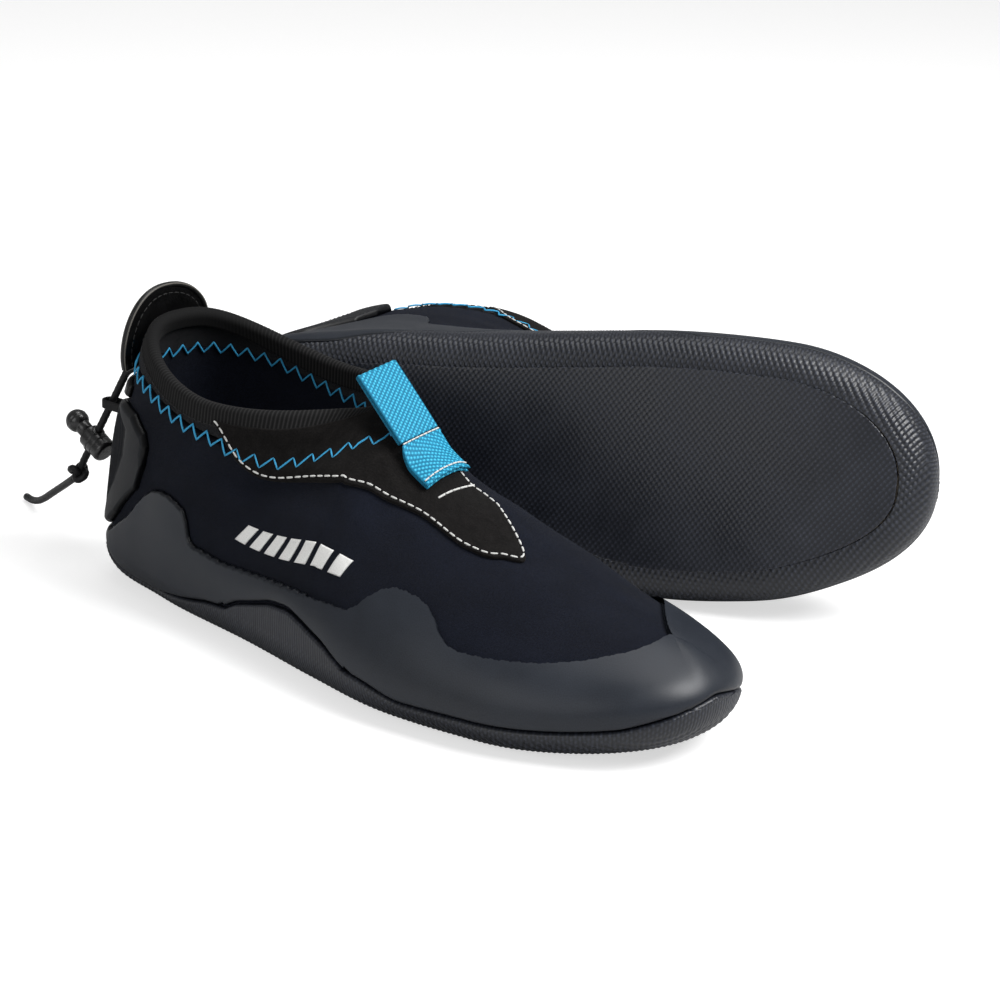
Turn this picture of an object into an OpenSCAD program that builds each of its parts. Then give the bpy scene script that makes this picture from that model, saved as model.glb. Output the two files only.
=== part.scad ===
// A pair of low slip-on water boots: the right boot stands, the left boot lies on its outer side.
// Frame: +X towards the right boot's toe, +Y to its inner side, +Z up, the origin under the
// middle of the right sole. The boots' own measures count x from the back of the heel.
// A point on a boot's skin has a side (-1 outer, +1 inner), a station (0 at the back of the heel,
// 100 at the toe) and a share (-100 under the sole edge, 0 at the widest line, 100 at the top line).

/* [Boot] */
// Length of the outsole
boot_length = 280; // [276:1:284]
// Thickness of the sole sheet
sole_thick = 3.5; // [3.3:0.1:3.8]
// Radius of the rounded sole edge
edge_radius = 10.5; // [10:0.1:11]
// Thickness of the textured wrap on the side of the sole
wrap_thick = 2.2; // [1.8:0.1:2.4]
// Thickness of the neoprene
neoprene = 3; // [2.5:0.1:3]
// Height of the collar at the heel
collar_back = 101.5; // [100:0.5:103]
// Height of the collar at the ankle
collar_low = 84; // [83:0.5:86]
// Height of the collar at the instep
collar_front = 89; // [88:0.5:90]
// Rise of the toe
toe_rise = 9; // [8:0.5:10]
// Rise of the heel
heel_rise = 3; // [2:0.5:4]

/* [Trim] */
// Thickness of the smooth rubber rand
rand_thick = 1.5; // [1:0.1:1.6]
// Thickness of the ribbed heel counter
counter_thick = 2.6; // [2:0.1:2.8]
// Thickness of the instep overlay
overlay_thick = 1; // [0.8:0.1:1.2]
// Radius of the collar binding
binding_r = 2.1; // [1.8:0.1:2.2]
// Width of the webbing
webbing_w = 19; // [18:0.5:20]
// Thickness of the doubled webbing
webbing_t = 2.6; // [2.2:0.1:3]
// Length of the free webbing loop
webbing_free = 27; // [24:1:30]
// Half width of the heel tab
tab_half = 20; // [18:0.5:21]
// Height of the top of the heel tab
tab_top = 111; // [108:0.5:112]
// Diameter of the elastic drawcord
cord_d = 3; // [2.8:0.1:3]

/* [Cord lock] */
// Radius of the barrel
barrel_r = 4.8; // [4.6:0.1:5.2]
// Radius of the plunger's stem
stem_r = 3; // [2.9:0.1:3.1]
// Radius of the plunger's ball
ball_r = 4.5; // [4.3:0.1:4.7]
// Travel of the plunger
press = 2.5; // [2:0.1:2.5]

/* [Hidden] */
PARTS = [
    "tread", "sole_wrap", "lasting_board", "footbed", "rand", "heel_counter", "upper",
    "instep_overlay", "collar_band", "collar_binding", "webbing_anchor", "webbing_loop",
    "heel_tab_base", "heel_tab", "heel_tab_edging", "side_print", "ankle_cord", "drawcord",
    "cord_keeper", "lock_barrel", "lock_plunger", "lock_spring", "cord_knot"
];

// Gap left between layers that are sewn or glued on each other
gap = 0.35;
// Half widths of the skin against distance from the heel, outer and inner side
outer_width = [[0, 30], [25, 27.5], [60, 34], [100, 39.5], [140, 47], [175, 52], [215, 48], [250, 40], [280, 36]];
inner_width = [[0, 29], [25, 26.5], [60, 31.5], [100, 35], [140, 40], [175, 44.5], [215, 46], [250, 44], [280, 42]];
// How far in from each end the outline is rounded
heel_round = 33;
toe_round = 56;
// Collar outline: back and front ends, half width, sideways shift
collar_x0 = 22;
collar_x1 = 131;
collar_half = 37;
collar_y = 4;
// Height of the instep ridge against distance from the heel
ridge_end = 260;
ridge = [
    [131, collar_front], [142, 82.5], [152, 75], [165, 68.5], [180, 64], [195, 59],
    [210, 53], [222, 48.5], [235, 44.5], [250, 40.5], [ridge_end, 37]
];
// Shape of the wall between sole and top line, against station
rise = [[0, 0.3], [25, 0.38], [50, 0.34], [70, 0.36], [100, 0.34]];
bulge = [[0, -3], [12, 0], [25, 2], [50, 3], [75, 2], [100, 2]];
crown = [[50, 0.42], [70, 0.43], [100, 0.4]];
lean = [[0, 0.5], [10, 0.35], [25, 0.1], [40, 0.15], [50, 0.4]];
// Edges of the layers: share against station
wrap_edge = [
    [0, 0], [7, -5], [10, -35], [14, -50], [20, -50], [27, -28], [32, -8], [38, 5], [44, 12],
    [47.5, 13], [54, 7], [60, -5], [64.5, -25], [72, -22], [90, -20], [95, -8], [100, 12]
];
rand_low = [for (e = wrap_edge) [e[0], e[1] + (e[1] < 0 ? 3 : 1)]];
rand_edge = [
    [0, 3], [6, 3], [9, 7], [15, 22], [18, 37], [20, 44], [22.5, 45], [25, 42], [26.5, 38],
    [28, 24], [34, 21], [51, 21], [57, 26], [59.5, 38], [61.5, 43], [65, 43], [67, 40],
    [69, 31], [71, 29], [75, 32], [80.5, 38], [85, 46], [90, 60], [93, 75], [95, 90], [97, 100], [100, 100]
];
rand_inner = [
    for (e = rand_edge) if (e[0] < 72) e,
    [76, 48], [81, 76], [85, 90], [89, 96], [93, 98.5], [97, 100], [100, 100]
];
counter_low = [[0, 6], [6.6, 7], [9, 11], [11.3, 18], [16, 37], [17, 52]];
counter_top = [[0, 58], [9, 70], [13, 72], [16, 68], [17, 62]];
seam = [
    [0, 82], [10, 85], [15, 87], [21, 86], [27, 83], [30, 78], [36, 74], [39, 72], [46.4, 69],
    [50, 73], [52, 81], [53.5, 100], [100, 100]
];
// Paths of slanting layers: column, station, share
band_low = [for (c = [0:2.5:50]) [c, c * 1.07, lookup(c * 1.07, seam) + (c < 50 ? 1.2 : 0)]];
band_top = [[0, 0, 97], [44, 44, 97], [50, 50, 98.5]];
overlay_top = [[0, 27, 93], [45, 47, 93], [52, 50.5, 100], [100, 72, 100]];
overlay_outer = [
    [0, 26.5, 92], [4, 29, 79], [10, 32.5, 70], [18, 36, 66.5], [36, 45, 59], [52, 52, 60],
    [62, 56, 66], [72, 60, 70.5], [80, 64, 72], [88, 68, 73.5], [94, 71, 78], [98, 73, 90],
    [100, 73.5, 100]
];
overlay_inner = [
    [0, 26.5, 92], [4, 29, 79], [10, 32.5, 70], [18, 36, 66.5], [36, 42, 62], [52, 48, 68],
    [62, 53, 78], [72, 58.4, 89], [80, 62.5, 93], [88, 67, 96], [94, 70, 98], [98, 72.5, 99.5],
    [100, 73.5, 100]
];
// Pose of the left boot
left_at = [4, 41, 57.2];
left_turn = [21.6, -100.8, 0.2];
// The origin, on the right sole's flat face
sole_middle = [boot_length / 2, 0, 0];

// ---- curves ----

function rate(t, i) = (t[i + 1][1] - t[i][1]) / (t[i + 1][0] - t[i][0]);
function slope(t, i) =
    i == 0 ? rate(t, 0) : i == len(t) - 1 ? rate(t, i - 1) : (rate(t, i - 1) + rate(t, i)) / 2;
// Smooth curve through the rows of a table
function smooth(x0, t) =
    let (x = min(max(x0, t[0][0]), t[len(t) - 1][0]))
    let (i = len([for (k = [1:len(t) - 2]) if (t[k][0] <= x) 1]))
    let (h = t[i + 1][0] - t[i][0], s = (x - t[i][0]) / h)
    t[i][1] * (1 + 2 * s) * pow(1 - s, 2) + slope(t, i) * h * s * pow(1 - s, 2)
    + t[i + 1][1] * s * s * (3 - 2 * s) + slope(t, i + 1) * h * s * s * (s - 1);
function clamp(x) = min(max(x, 0), 1);
function ease(x) = let (t = clamp(x)) t * t * (3 - 2 * t);
function unit(v) = v / norm(v);

// ---- the boot's skin ----

function taper(t) = pow(max(0, 1 - pow(clamp(t), 2.2)), 1 / 2.2);
function half_width(side, x) =
    smooth(x, side < 0 ? outer_width : inner_width)
    * taper((heel_round + wrap_thick - x) / heel_round)
    * taper((x - boot_length + wrap_thick + toe_round) / toe_round);
// Lift of the sole's underside off the floor
function spring(x) =
    toe_rise * pow(clamp((x - boot_length + 65) / 65), 2) + heel_rise * pow(clamp((25 - x) / 25), 2);
function crowd(s) = s * s * 1.25 / (s + 0.25);
function base_x(st) =
    let (m = boot_length / 2 - wrap_thick)
    st < 50 ? wrap_thick + m * crowd(st / 50) : boot_length - wrap_thick - m * crowd(2 - st / 50);
function outline(side, st) = let (x = base_x(st)) [x, side * half_width(side, x), 0];
// Direction straight out of the outline
function outward(side, st) =
    st <= 0 ? [-1, 0, 0] : st >= 100 ? [1, 0, 0] :
    let (t = outline(side, min(st + 1, 100)) - outline(side, max(st - 1, 0)))
    unit([-side * t[1], side * t[0], 0]);
function top_line(side, st) =
    let (x = base_x(st), a = min(st / 50, 1) * 180, c = cos(a))
    let (xr = collar_x1 + (x - boot_length / 2) * (ridge_end - collar_x1) / (boot_length / 2 - wrap_thick))
    st >= 50
        ? [xr, collar_y - 2 * (xr - collar_x1) / (ridge_end - collar_x1), smooth(xr, ridge)]
        : [
            (collar_x0 + collar_x1) / 2 - (collar_x1 - collar_x0) / 2 * c,
            collar_y + side * collar_half * pow(sin(a), 0.8 + 0.4 * max(0, -c)),
            collar_low + (collar_back - collar_low) * pow(max(0, c), 1.8)
                + (collar_front - collar_low) * pow(max(0, -c), 1.8)
        ];
// Four control points of the wall's curve at a station
function wall(side, st) =
    let (x = base_x(st), n = outward(side, st), t = top_line(side, st))
    let (b = outline(side, st) + [0, 0, sole_thick + edge_radius + spring(x)], h = t[2] - b[2])
    let (rim = t - ([0, 0, 1] - n * smooth(st, lean)) * 0.34 * h)
    let (fall = st < 50 ? 0 : (smooth(t[0] + 1, ridge) - smooth(t[0] - 1, ridge)) / 2)
    let (dome = t + [b[0] - t[0], b[1] - t[1], (b[0] - t[0]) * fall] * smooth(st, crown))
    let (w = ease((st - 33) / 17))
    [b, b + [0, 0, smooth(st, rise) * h] + n * smooth(st, bulge), rim * (1 - w) + dome * w, t];
function skin(side, st, sh) =
    let (p = wall(side, st), t = clamp(sh / 100), r = 1 - t)
    sh >= 0
        ? r * r * r * p[0] + 3 * t * r * r * p[1] + 3 * t * t * r * p[2] + t * t * t * p[3]
        : let (a = -sh * 0.9, q = p[0] - outward(side, st) * edge_radius * (1 - cos(a)))
          [q[0], q[1], sole_thick + edge_radius * (1 - sin(a)) + spring(q[0])];
function across(side, st, sh) = skin(side, st, min(sh + 2, 98)) - skin(side, st, min(sh, 96) - 2);
function normal(side, st, sh) =
    sh < 0 ? outward(side, st) * cos(-sh * 0.9) - [0, 0, sin(-sh * 0.9)] :
    st <= 0.01 || st >= 99.99 ? unit(cross([0, st < 50 ? -1 : 1, 0], across(side, st, sh))) :
    st >= 49.99 && sh > 99.9
        ? let (t = top_line(side, st + 0.4) - top_line(side, max(50, st - 0.4))) unit([-t[2], 0, t[0]]) :
    let (m = min(sh, 96), t = skin(side, min(st + 0.4, 100), m) - skin(side, max(st - 0.4, 0), m))
    unit(cross(t, across(side, st, sh)) * -side);
// Offset from the skin: a fixed part, and a part that grows under the sole edge
function thick(off, sh) = off[0] + off[1] * clamp(-sh / 100);
function on_skin(q, off) = skin(q[0], q[1], q[2]) + normal(q[0], q[1], q[2]) * thick(off, q[2]);

// ---- layers ----

// A solid between two offsets over a grid of skin points, one row of the grid per column
// The grid may close on itself, and its far edge may meet itself along the instep ridge
function on_ridge(q) = q[1] >= 49.99 && q[2] > 99.9;
module layer(grid, low, high, closed) {
    n = len(grid);
    m = len(grid[0]);
    last = closed ? n - 1 : n - 2;
    points = [for (off = [high, low]) for (c = grid) for (q = c) on_skin(q, off)];
    function at(f, i, j) = f * n * m + (i % n) * m + j;
    function two(a, b, c, d) = [[a, b, c], [a, c, d]];
    polyhedron(points, [
        for (i = [0:last]) each [
            for (j = [0:m - 2]) each two(at(0, i, j), at(0, i, j + 1), at(0, i + 1, j + 1), at(0, i + 1, j)),
            for (j = [0:m - 2]) each two(at(1, i, j), at(1, i + 1, j), at(1, i + 1, j + 1), at(1, i, j + 1)),
            each two(at(0, i, 0), at(0, i + 1, 0), at(1, i + 1, 0), at(1, i, 0)),
            if (!(on_ridge(grid[i][m - 1]) && on_ridge(grid[(i + 1) % n][m - 1])))
                each two(at(0, i, m - 1), at(1, i, m - 1), at(1, i + 1, m - 1), at(0, i + 1, m - 1))
        ],
        if (!closed) each [
            for (j = [0:m - 2]) each two(at(0, 0, j), at(1, 0, j), at(1, 0, j + 1), at(0, 0, j + 1)),
            for (j = [0:m - 2])
                each two(at(0, n - 1, j), at(0, n - 1, j + 1), at(1, n - 1, j + 1), at(1, n - 1, j))
        ]
    ]);
}
// Station and share of a path at a column: rows of two give a share against station
function along(c, t) =
    len(t[0]) == 2 ? [c, lookup(c, t)]
    : [lookup(c, [for (r = t) [r[0], r[1]]]), lookup(c, [for (r = t) [r[0], r[2]]])];
function column(side, c, low, high, rows) =
    let (a = along(c, low), b = along(c, high))
    [for (j = [0:rows]) let (q = a + (b - a) * j / rows) [side, q[0], q[1]]];
// Grid down the outer side from column 0 to column end and back up the inner side
function both_sides(low_outer, low_inner, high, end, n, rows, closed) = [
    for (k = [0:n]) column(-1, end * k / n, low_outer, high, rows),
    for (k = [n - 1:-1:closed ? 1 : 0]) column(1, end * k / n, low_inner, high, rows)
];
// Grid over the back of the heel
function heel_patch(low, high, end, n, rows) =
    [for (k = [-n:n]) column(k < 0 ? 1 : -1, abs(k) * end / n, low, high, rows)];
// A tube along points, with any number of sides; closed joins its ends
module tube(path, r, sides, closed) {
    n = len(path);
    function dir(i) =
        unit(path[closed ? (i + 1) % n : min(i + 1, n - 1)] - path[closed ? (i + n - 1) % n : max(i - 1, 0)]);
    points = [
        for (i = [0:n - 1])
            let (d = dir(i), u = unit(cross(d, abs(d[2]) > 0.95 ? [1, 0, 0] : [0, 0, 1])), w = cross(d, u))
            for (k = [0:sides - 1]) path[i] + r * (cos(360 * k / sides) * u + sin(360 * k / sides) * w)
    ];
    function at(i, k) = (i % n) * sides + k % sides;
    polyhedron(points, [
        for (i = [0:closed ? n - 1 : n - 2]) for (k = [0:sides - 1]) each [
            [at(i, k), at(i + 1, k), at(i + 1, k + 1)],
            [at(i, k), at(i + 1, k + 1), at(i, k + 1)]
        ],
        if (!closed) each [[for (k = [0:sides - 1]) k], [for (k = [sides - 1:-1:0]) at(n - 1, k)]]
    ]);
}

// ---- flat pieces under the foot ----

function inset_outline(inset) = [
    for (k = [0:32]) let (st = k * 100 / 32) outline(-1, st) - outward(-1, st) * inset,
    for (k = [31:-1:1]) let (st = k * 100 / 32) outline(1, st) - outward(1, st) * inset
];
// A sheet that follows the underside's lift, between two heights
module sole_sheet(inset, low, high) {
    xs = [0, 5, 10, 15, 20, 25, 215, 225, 235, 245, 255, 265, 275, boot_length];
    intersection() {
        linear_extrude(40) polygon([for (p = inset_outline(inset)) [p[0], p[1]]]);
        translate([0, 80, 0]) rotate([90, 0, 0]) linear_extrude(160)
            polygon([
                for (x = xs) [x, low + spring(x)],
                for (i = [len(xs) - 1:-1:0]) [xs[i], high + spring(xs[i])]
            ]);
    }
}
module tread() sole_sheet(edge_radius + 0.3, 0, sole_thick - 0.3);
module lasting_board() sole_sheet(edge_radius - 1.5, sole_thick + 0.2, sole_thick + 1.7);
module footbed() sole_sheet(edge_radius - 1.5, sole_thick + 2, sole_thick + 6);

// ---- shell of the boot ----

module sole_wrap()
    layer(both_sides([[0, -100], [100, -100]], [[0, -100], [100, -100]], wrap_edge, 100, 50, 4, true),
        [gap, 0], [wrap_thick, sole_thick - wrap_thick], true);
module rand()
    layer([
        for (k = [0:50]) column(-1, 2 * k, rand_low, rand_edge, 8),
        for (k = [49:-1:1]) column(1, 2 * k, rand_low, rand_inner, 8)
    ], [gap, 0], [gap + rand_thick, 0], true);
module heel_counter()
    layer(heel_patch(counter_low, counter_top, 17, 7, 5), [gap, 0], [gap + counter_thick, 0], false);
module upper() {
    low = [[0, -75], [100, -75]];
    layer(both_sides(low, low, seam, 100, 40, 8, true), [-neoprene, 0], [0, 0], true);
}
module collar_band()
    layer(both_sides(band_low, band_low, band_top, 50, 24, 2, true), [-neoprene, 0], [0, 0], true);
module instep_overlay()
    layer(both_sides(overlay_outer, overlay_inner, overlay_top, 100, 24, 3, false),
        [gap, 0], [gap + overlay_thick, 0], false);
// Loop of points at a share and an offset, all round the collar
function collar_loop(share, off, n) = [
    for (k = [0:n]) on_skin([-1, 50 * k / n, share], [off, 0]),
    for (k = [n - 1:-1:1]) on_skin([1, 50 * k / n, share], [off, 0])
];
module collar_binding()
    tube([for (p = collar_loop(99.5, -neoprene / 2, 30)) p + [0, 0, 0.4]], binding_r, 8, true);
module ankle_cord()
    tube(collar_loop(90, -neoprene / 2, 24), 0.9, 6, true);

// ---- webbing pull ----

// Hinge line of the free loop, on top of the instep overlay
web_hinge = [149, -1, 82.6];
web_rake = 49;
module web_frame() translate(web_hinge) rotate([8, 0, 0]) children();
// Strip sewn over the instep: stations of its ends on the ridge, how far its edges lie down each
// side in shares, and how many stations those edges are set back
anchor_ends = [55.2, 60];
anchor_fall = [19.3, 9];
anchor_back = [0.9, 0.3];
module webbing_anchor() {
    low = overlay_thick + 2 * gap;
    layer([
        for (k = [3:-1:-3]) let (i = k > 0 ? 1 : 0, part = abs(k) / 3) [
            for (j = [0:4]) [
                k > 0 ? 1 : -1,
                anchor_ends[0] + (anchor_ends[1] - anchor_ends[0]) * j / 4 - anchor_back[i] * part,
                100 - anchor_fall[i] * part
            ]
        ]
    ], [low, 0], [low + webbing_t, 0], false);
}
module webbing_loop()
    web_frame() rotate([0, web_rake, 0]) rotate([90, 0, 0]) linear_extrude(webbing_w, center = true)
        translate([-webbing_free, -webbing_t / 2])
            union() {
                translate([0, -webbing_t / 2]) square([webbing_free - 0.2, webbing_t]);
                circle(webbing_t / 2 + 0.3, $fn = 24);
            }

// ---- heel tab ----

tab_fold = 80;
tab_y = 1;
tab_mid = 91;
tab_thick = 2;
tab_face = [[tab_fold, 12.2], [86, 12.4], [94, 13.8], [104, 16.6], [tab_top, 19]];
function tab_x(y, z) = smooth(z, tab_face) + 0.012 * pow(y - tab_y, 2);
function tab_width(z) =
    z < tab_mid ? tab_half - 0.018 * pow(tab_mid - z, 2) : tab_half * taper((z - tab_mid) / (tab_top - tab_mid));
function tab_point(s, z, off) = let (y = tab_y + s * tab_width(z)) [tab_x(y, z) + off, y, z];
module heel_tab_base()
    layer(heel_patch([[0, 60], [10, 72]], [[0, 72], [10, 77.2]], 9, 4, 2), [gap, 0], [gap + tab_thick, 0], false);
module heel_tab() {
    zs = [for (k = [0:9]) tab_fold + (tab_top - tab_fold - 0.3) * (1 - pow(1 - k / 9, 1.8))];
    n = len(zs);
    m = 9;
    points = [
        for (off = [0, -tab_thick]) for (z = zs) for (k = [0:m - 1]) tab_point(0.93 * (2 * k / (m - 1) - 1), z, off)
    ];
    function at(f, i, j) = f * n * m + i * m + j;
    function two(a, b, c, d) = [[a, b, c], [a, c, d]];
    polyhedron(points, [
        for (i = [0:n - 2]) for (j = [0:m - 2]) each [
            each two(at(0, i, j), at(0, i + 1, j), at(0, i + 1, j + 1), at(0, i, j + 1)),
            each two(at(1, i, j), at(1, i, j + 1), at(1, i + 1, j + 1), at(1, i + 1, j))
        ],
        for (i = [0:n - 2]) each [
            each two(at(0, i, 0), at(1, i, 0), at(1, i + 1, 0), at(0, i + 1, 0)),
            each two(at(0, i, m - 1), at(0, i + 1, m - 1), at(1, i + 1, m - 1), at(1, i, m - 1))
        ],
        for (j = [0:m - 2]) each [
            each two(at(0, 0, j), at(0, 0, j + 1), at(1, 0, j + 1), at(1, 0, j)),
            each two(at(0, n - 1, j), at(1, n - 1, j), at(1, n - 1, j + 1), at(0, n - 1, j + 1))
        ]
    ]);
}
module heel_tab_edging() {
    zs = [for (k = [0:12]) tab_fold + 1.6 + (tab_top - tab_fold - 1.6) * (1 - pow(1 - k / 12, 1.8))];
    r = 1.3;
    function edge(s, z) = tab_point(s, z, -tab_thick / 2) + [0, s * (r + 0.1) * 0.6, 0];
    tube([
        for (z = zs) edge(-1, z) ,
        for (i = [len(zs) - 2:-1:0]) edge(1, zs[i])
    ], r, 8, false);
}

// ---- printed mark: a row of slanting bars on the outer side ----

print_thick = 0.3;
module side_print()
    for (k = [0:6])
        layer([
            for (i = [0:2]) [for (j = [0:2])
                [-1, 35.8 + 2.8 * k + 0.85 * i - 0.3 * j, 30 + 0.75 * k + (5.4 - 0.15 * k) * j]]
        ], [gap, 0], [gap + print_thick, 0], false);

// ---- drawcord, its keeper and its lock ----

// Route of the drawcord on the standing boot, from the heel tab down to the floor
right_route = [
    [9.8, -2, 76.6], [8, -2, 77], [5, -2, 77.2], [2, -2.5, 76], [-0.5, -2.8, 74], [-2, -3, 71.5],
    [-5, -3.4, 66.1], [-8, -3.8, 60.7], [-11, -4.2, 55.2], [-14, -4.6, 49.8], [-17, -5, 44.4],
    [-20, -5.4, 39], [-22.5, -5.7, 34.5], [-25, -5.8, 29.5], [-29, -5, 26], [-34, -3.2, 23],
    [-40, -1, 19.5], [-47, 1.5, 15.5], [-54, 4, 11.5], [-61, 6.5, 7.5], [-68, 9, 4.2], [-75, 11.5, 2.2],
    [-81, 13.5, 1.7]
];
right_lock = [-17, -5, 44.4];
right_up = [3, 0.4, 5.4];
right_along = [5.4, 0, -3];
// Route on the lying boot: it hangs to the floor and lies there
left_route = [
    [-14, 112, 45], [-16, 111.5, 45], [-19, 110.5, 44.5], [-21.5, 109.8, 43], [-23, 109.5, 40.5],
    [-23.5, 109.5, 37.5], [-23.5, 109.5, 32], [-23.5, 109.5, 27], [-23.5, 109.5, 22], [-23.5, 109.5, 17],
    [-24, 109.6, 12.5], [-26, 110, 8.5], [-29, 111, 6], [-33, 113, 4.5], [-37, 115.5, 2.8],
    [-42, 119, 1.8], [-47, 123.5, 1.7], [-51, 129, 1.7], [-54, 135.5, 1.7], [-56, 142, 1.7], [-57, 149, 1.7]
];
left_lock = [-23.5, 109.5, 29];
left_up = [0, 0, 1];
left_along = [1, 0, 0];
right_knot = [-25, -5.8, 29.5];
left_knot = [-29, 111, 6.4];

module drawcord(route) tube(route, cord_d / 2, 8, false);
module cord_knot(at) translate(at) sphere(4.4, $fn = 32);
// Places the lock: its hole runs along up, its barrel along the other axis
module lock_frame(at, up, side) {
    z = unit(up);
    x = unit(side - z * (side * z));
    y = cross(z, x);
    multmatrix([
        [x[0], y[0], z[0], at[0]],
        [x[1], y[1], z[1], at[1]],
        [x[2], y[2], z[2], at[2]]
    ]) children();
}
hole_r = cord_d / 2 + 0.35;
barrel_back = 8;
barrel_front = -3.2;
bore_end = 7;
ball_x = -11;
stem_end = 3.4;
// Pocket in the stem's end that goes over the spring when the ball is pressed
pocket_r = 2.6;
pocket_deep = 1.1;
spring_r = 2.5;
module lock_barrel()
    difference() {
        translate([barrel_front, 0, 0]) rotate([0, 90, 0])
            cylinder(barrel_back - barrel_front, r = barrel_r, $fn = 48);
        translate([barrel_front - 1, 0, 0]) rotate([0, 90, 0])
            cylinder(bore_end - barrel_front + 1, r = stem_r + 0.1, $fn = 48);
        cylinder(20, r = hole_r, center = true, $fn = 32);
    }
module lock_plunger()
    difference() {
        rotate([0, 90, 0]) rotate_extrude($fn = 48)
            intersection() {
                difference() {
                    union() {
                        translate([0, ball_x]) circle(ball_r, $fn = 48);
                        translate([0, ball_x]) square([stem_r, stem_end - ball_x]);
                    }
                    translate([-1, stem_end - pocket_deep]) square([pocket_r + 1, 2 * pocket_deep]);
                }
                translate([0, -20]) square([10, 40]);
            }
        translate([-hole_r - press, -hole_r, -10]) cube([2 * hole_r + press, 2 * hole_r, 20]);
    }
module lock_spring()
    translate([5, 0, 0]) rotate([0, 90, 0])
        difference() {
            cylinder(1.9, r = spring_r, $fn = 32);
            translate([0, 0, -1]) cylinder(4, r = spring_r - 0.6, $fn = 32);
        }
// Strap loop that stands off the heel and holds the drawcord in
module cord_keeper()
    translate([0, -3.8, 58.8])
        difference() {
            translate([-12, -3.3, 0]) cube([16.6, 6.6, 3.6]);
            translate([-11, -2.4, -1]) cube([11, 4.8, 6]);
        }

// ---- placing ----

module shape(p) {
    if (p == "tread") color([0.12, 0.12, 0.13]) tread();
    if (p == "sole_wrap") color([0.2, 0.2, 0.21]) sole_wrap();
    if (p == "lasting_board") color([0.7, 0.66, 0.58]) lasting_board();
    if (p == "footbed") color([0.1, 0.1, 0.12]) footbed();
    if (p == "rand") color([0.25, 0.26, 0.27]) rand();
    if (p == "heel_counter") color([0.16, 0.16, 0.17]) heel_counter();
    if (p == "upper") color([0.06, 0.07, 0.1]) upper();
    if (p == "instep_overlay") color([0.17, 0.15, 0.14]) instep_overlay();
    if (p == "collar_band") color([0.1, 0.1, 0.12]) collar_band();
    if (p == "collar_binding") color([0.13, 0.13, 0.14]) collar_binding();
    if (p == "webbing_anchor") color([0.05, 0.62, 0.82]) webbing_anchor();
    if (p == "webbing_loop") color([0.05, 0.62, 0.82]) webbing_loop();
    if (p == "heel_tab_base") color([0.05, 0.05, 0.06]) heel_tab_base();
    if (p == "heel_tab") color([0.05, 0.05, 0.06]) heel_tab();
    if (p == "heel_tab_edging") color([0.1, 0.1, 0.1]) heel_tab_edging();
    if (p == "side_print") color([0.95, 0.95, 0.95]) side_print();
    if (p == "ankle_cord") color([0.05, 0.05, 0.05]) ankle_cord();
    if (p == "cord_keeper") color([0.05, 0.05, 0.05]) cord_keeper();
}
module lock_shape(p) {
    if (p == "lock_barrel") color([0.03, 0.03, 0.03]) lock_barrel();
    if (p == "lock_plunger") color([0.03, 0.03, 0.03]) lock_plunger();
    if (p == "lock_spring") color([0.7, 0.7, 0.72]) lock_spring();
}
module right_boot(p) translate(-sole_middle) {
    shape(p);
    lock_frame(right_lock, right_up, right_along) lock_shape(p);
    if (p == "drawcord") color([0.04, 0.04, 0.04]) drawcord(right_route);
    if (p == "cord_knot") color([0.04, 0.04, 0.04]) cord_knot(right_knot);
}
module left_boot(p) translate(-sole_middle) {
    translate(left_at) rotate([0, 0, left_turn[0]]) rotate([left_turn[1], 0, 0]) rotate([0, 0, left_turn[2]])
        mirror([0, 1, 0]) shape(p);
    lock_frame(left_lock, left_up, left_along) lock_shape(p);
    if (p == "drawcord") color([0.04, 0.04, 0.04]) drawcord(left_route);
    if (p == "cord_knot") color([0.04, 0.04, 0.04]) cord_knot(left_knot);
}

right_boot("tread");  // right_tread
right_boot("sole_wrap");  // right_sole_wrap
right_boot("lasting_board");  // right_lasting_board
right_boot("footbed");  // right_footbed
right_boot("rand");  // right_rand
right_boot("heel_counter");  // right_heel_counter
right_boot("upper");  // right_upper
right_boot("instep_overlay");  // right_instep_overlay
right_boot("collar_band");  // right_collar_band
right_boot("collar_binding");  // right_collar_binding
right_boot("webbing_anchor");  // right_webbing_anchor
right_boot("webbing_loop");  // right_webbing_loop
right_boot("heel_tab_base");  // right_heel_tab_base
right_boot("heel_tab");  // right_heel_tab
right_boot("heel_tab_edging");  // right_heel_tab_edging
right_boot("side_print");  // right_side_print
right_boot("ankle_cord");  // right_ankle_cord
right_boot("drawcord");  // right_drawcord
right_boot("cord_keeper");  // right_cord_keeper
right_boot("lock_barrel");  // right_lock_barrel
right_boot("lock_plunger");  // right_lock_plunger
right_boot("lock_spring");  // right_lock_spring
right_boot("cord_knot");  // right_cord_knot
left_boot("tread");  // left_tread
left_boot("sole_wrap");  // left_sole_wrap
left_boot("lasting_board");  // left_lasting_board
left_boot("footbed");  // left_footbed
left_boot("rand");  // left_rand
left_boot("heel_counter");  // left_heel_counter
left_boot("upper");  // left_upper
left_boot("instep_overlay");  // left_instep_overlay
left_boot("collar_band");  // left_collar_band
left_boot("collar_binding");  // left_collar_binding
left_boot("webbing_anchor");  // left_webbing_anchor
left_boot("webbing_loop");  // left_webbing_loop
left_boot("heel_tab_base");  // left_heel_tab_base
left_boot("heel_tab");  // left_heel_tab
left_boot("heel_tab_edging");  // left_heel_tab_edging
left_boot("side_print");  // left_side_print
left_boot("ankle_cord");  // left_ankle_cord
left_boot("drawcord");  // left_drawcord
left_boot("cord_keeper");  // left_cord_keeper
left_boot("lock_barrel");  // left_lock_barrel
left_boot("lock_plunger");  // left_lock_plunger
left_boot("lock_spring");  // left_lock_spring
left_boot("cord_knot");  // left_cord_knot
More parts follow.
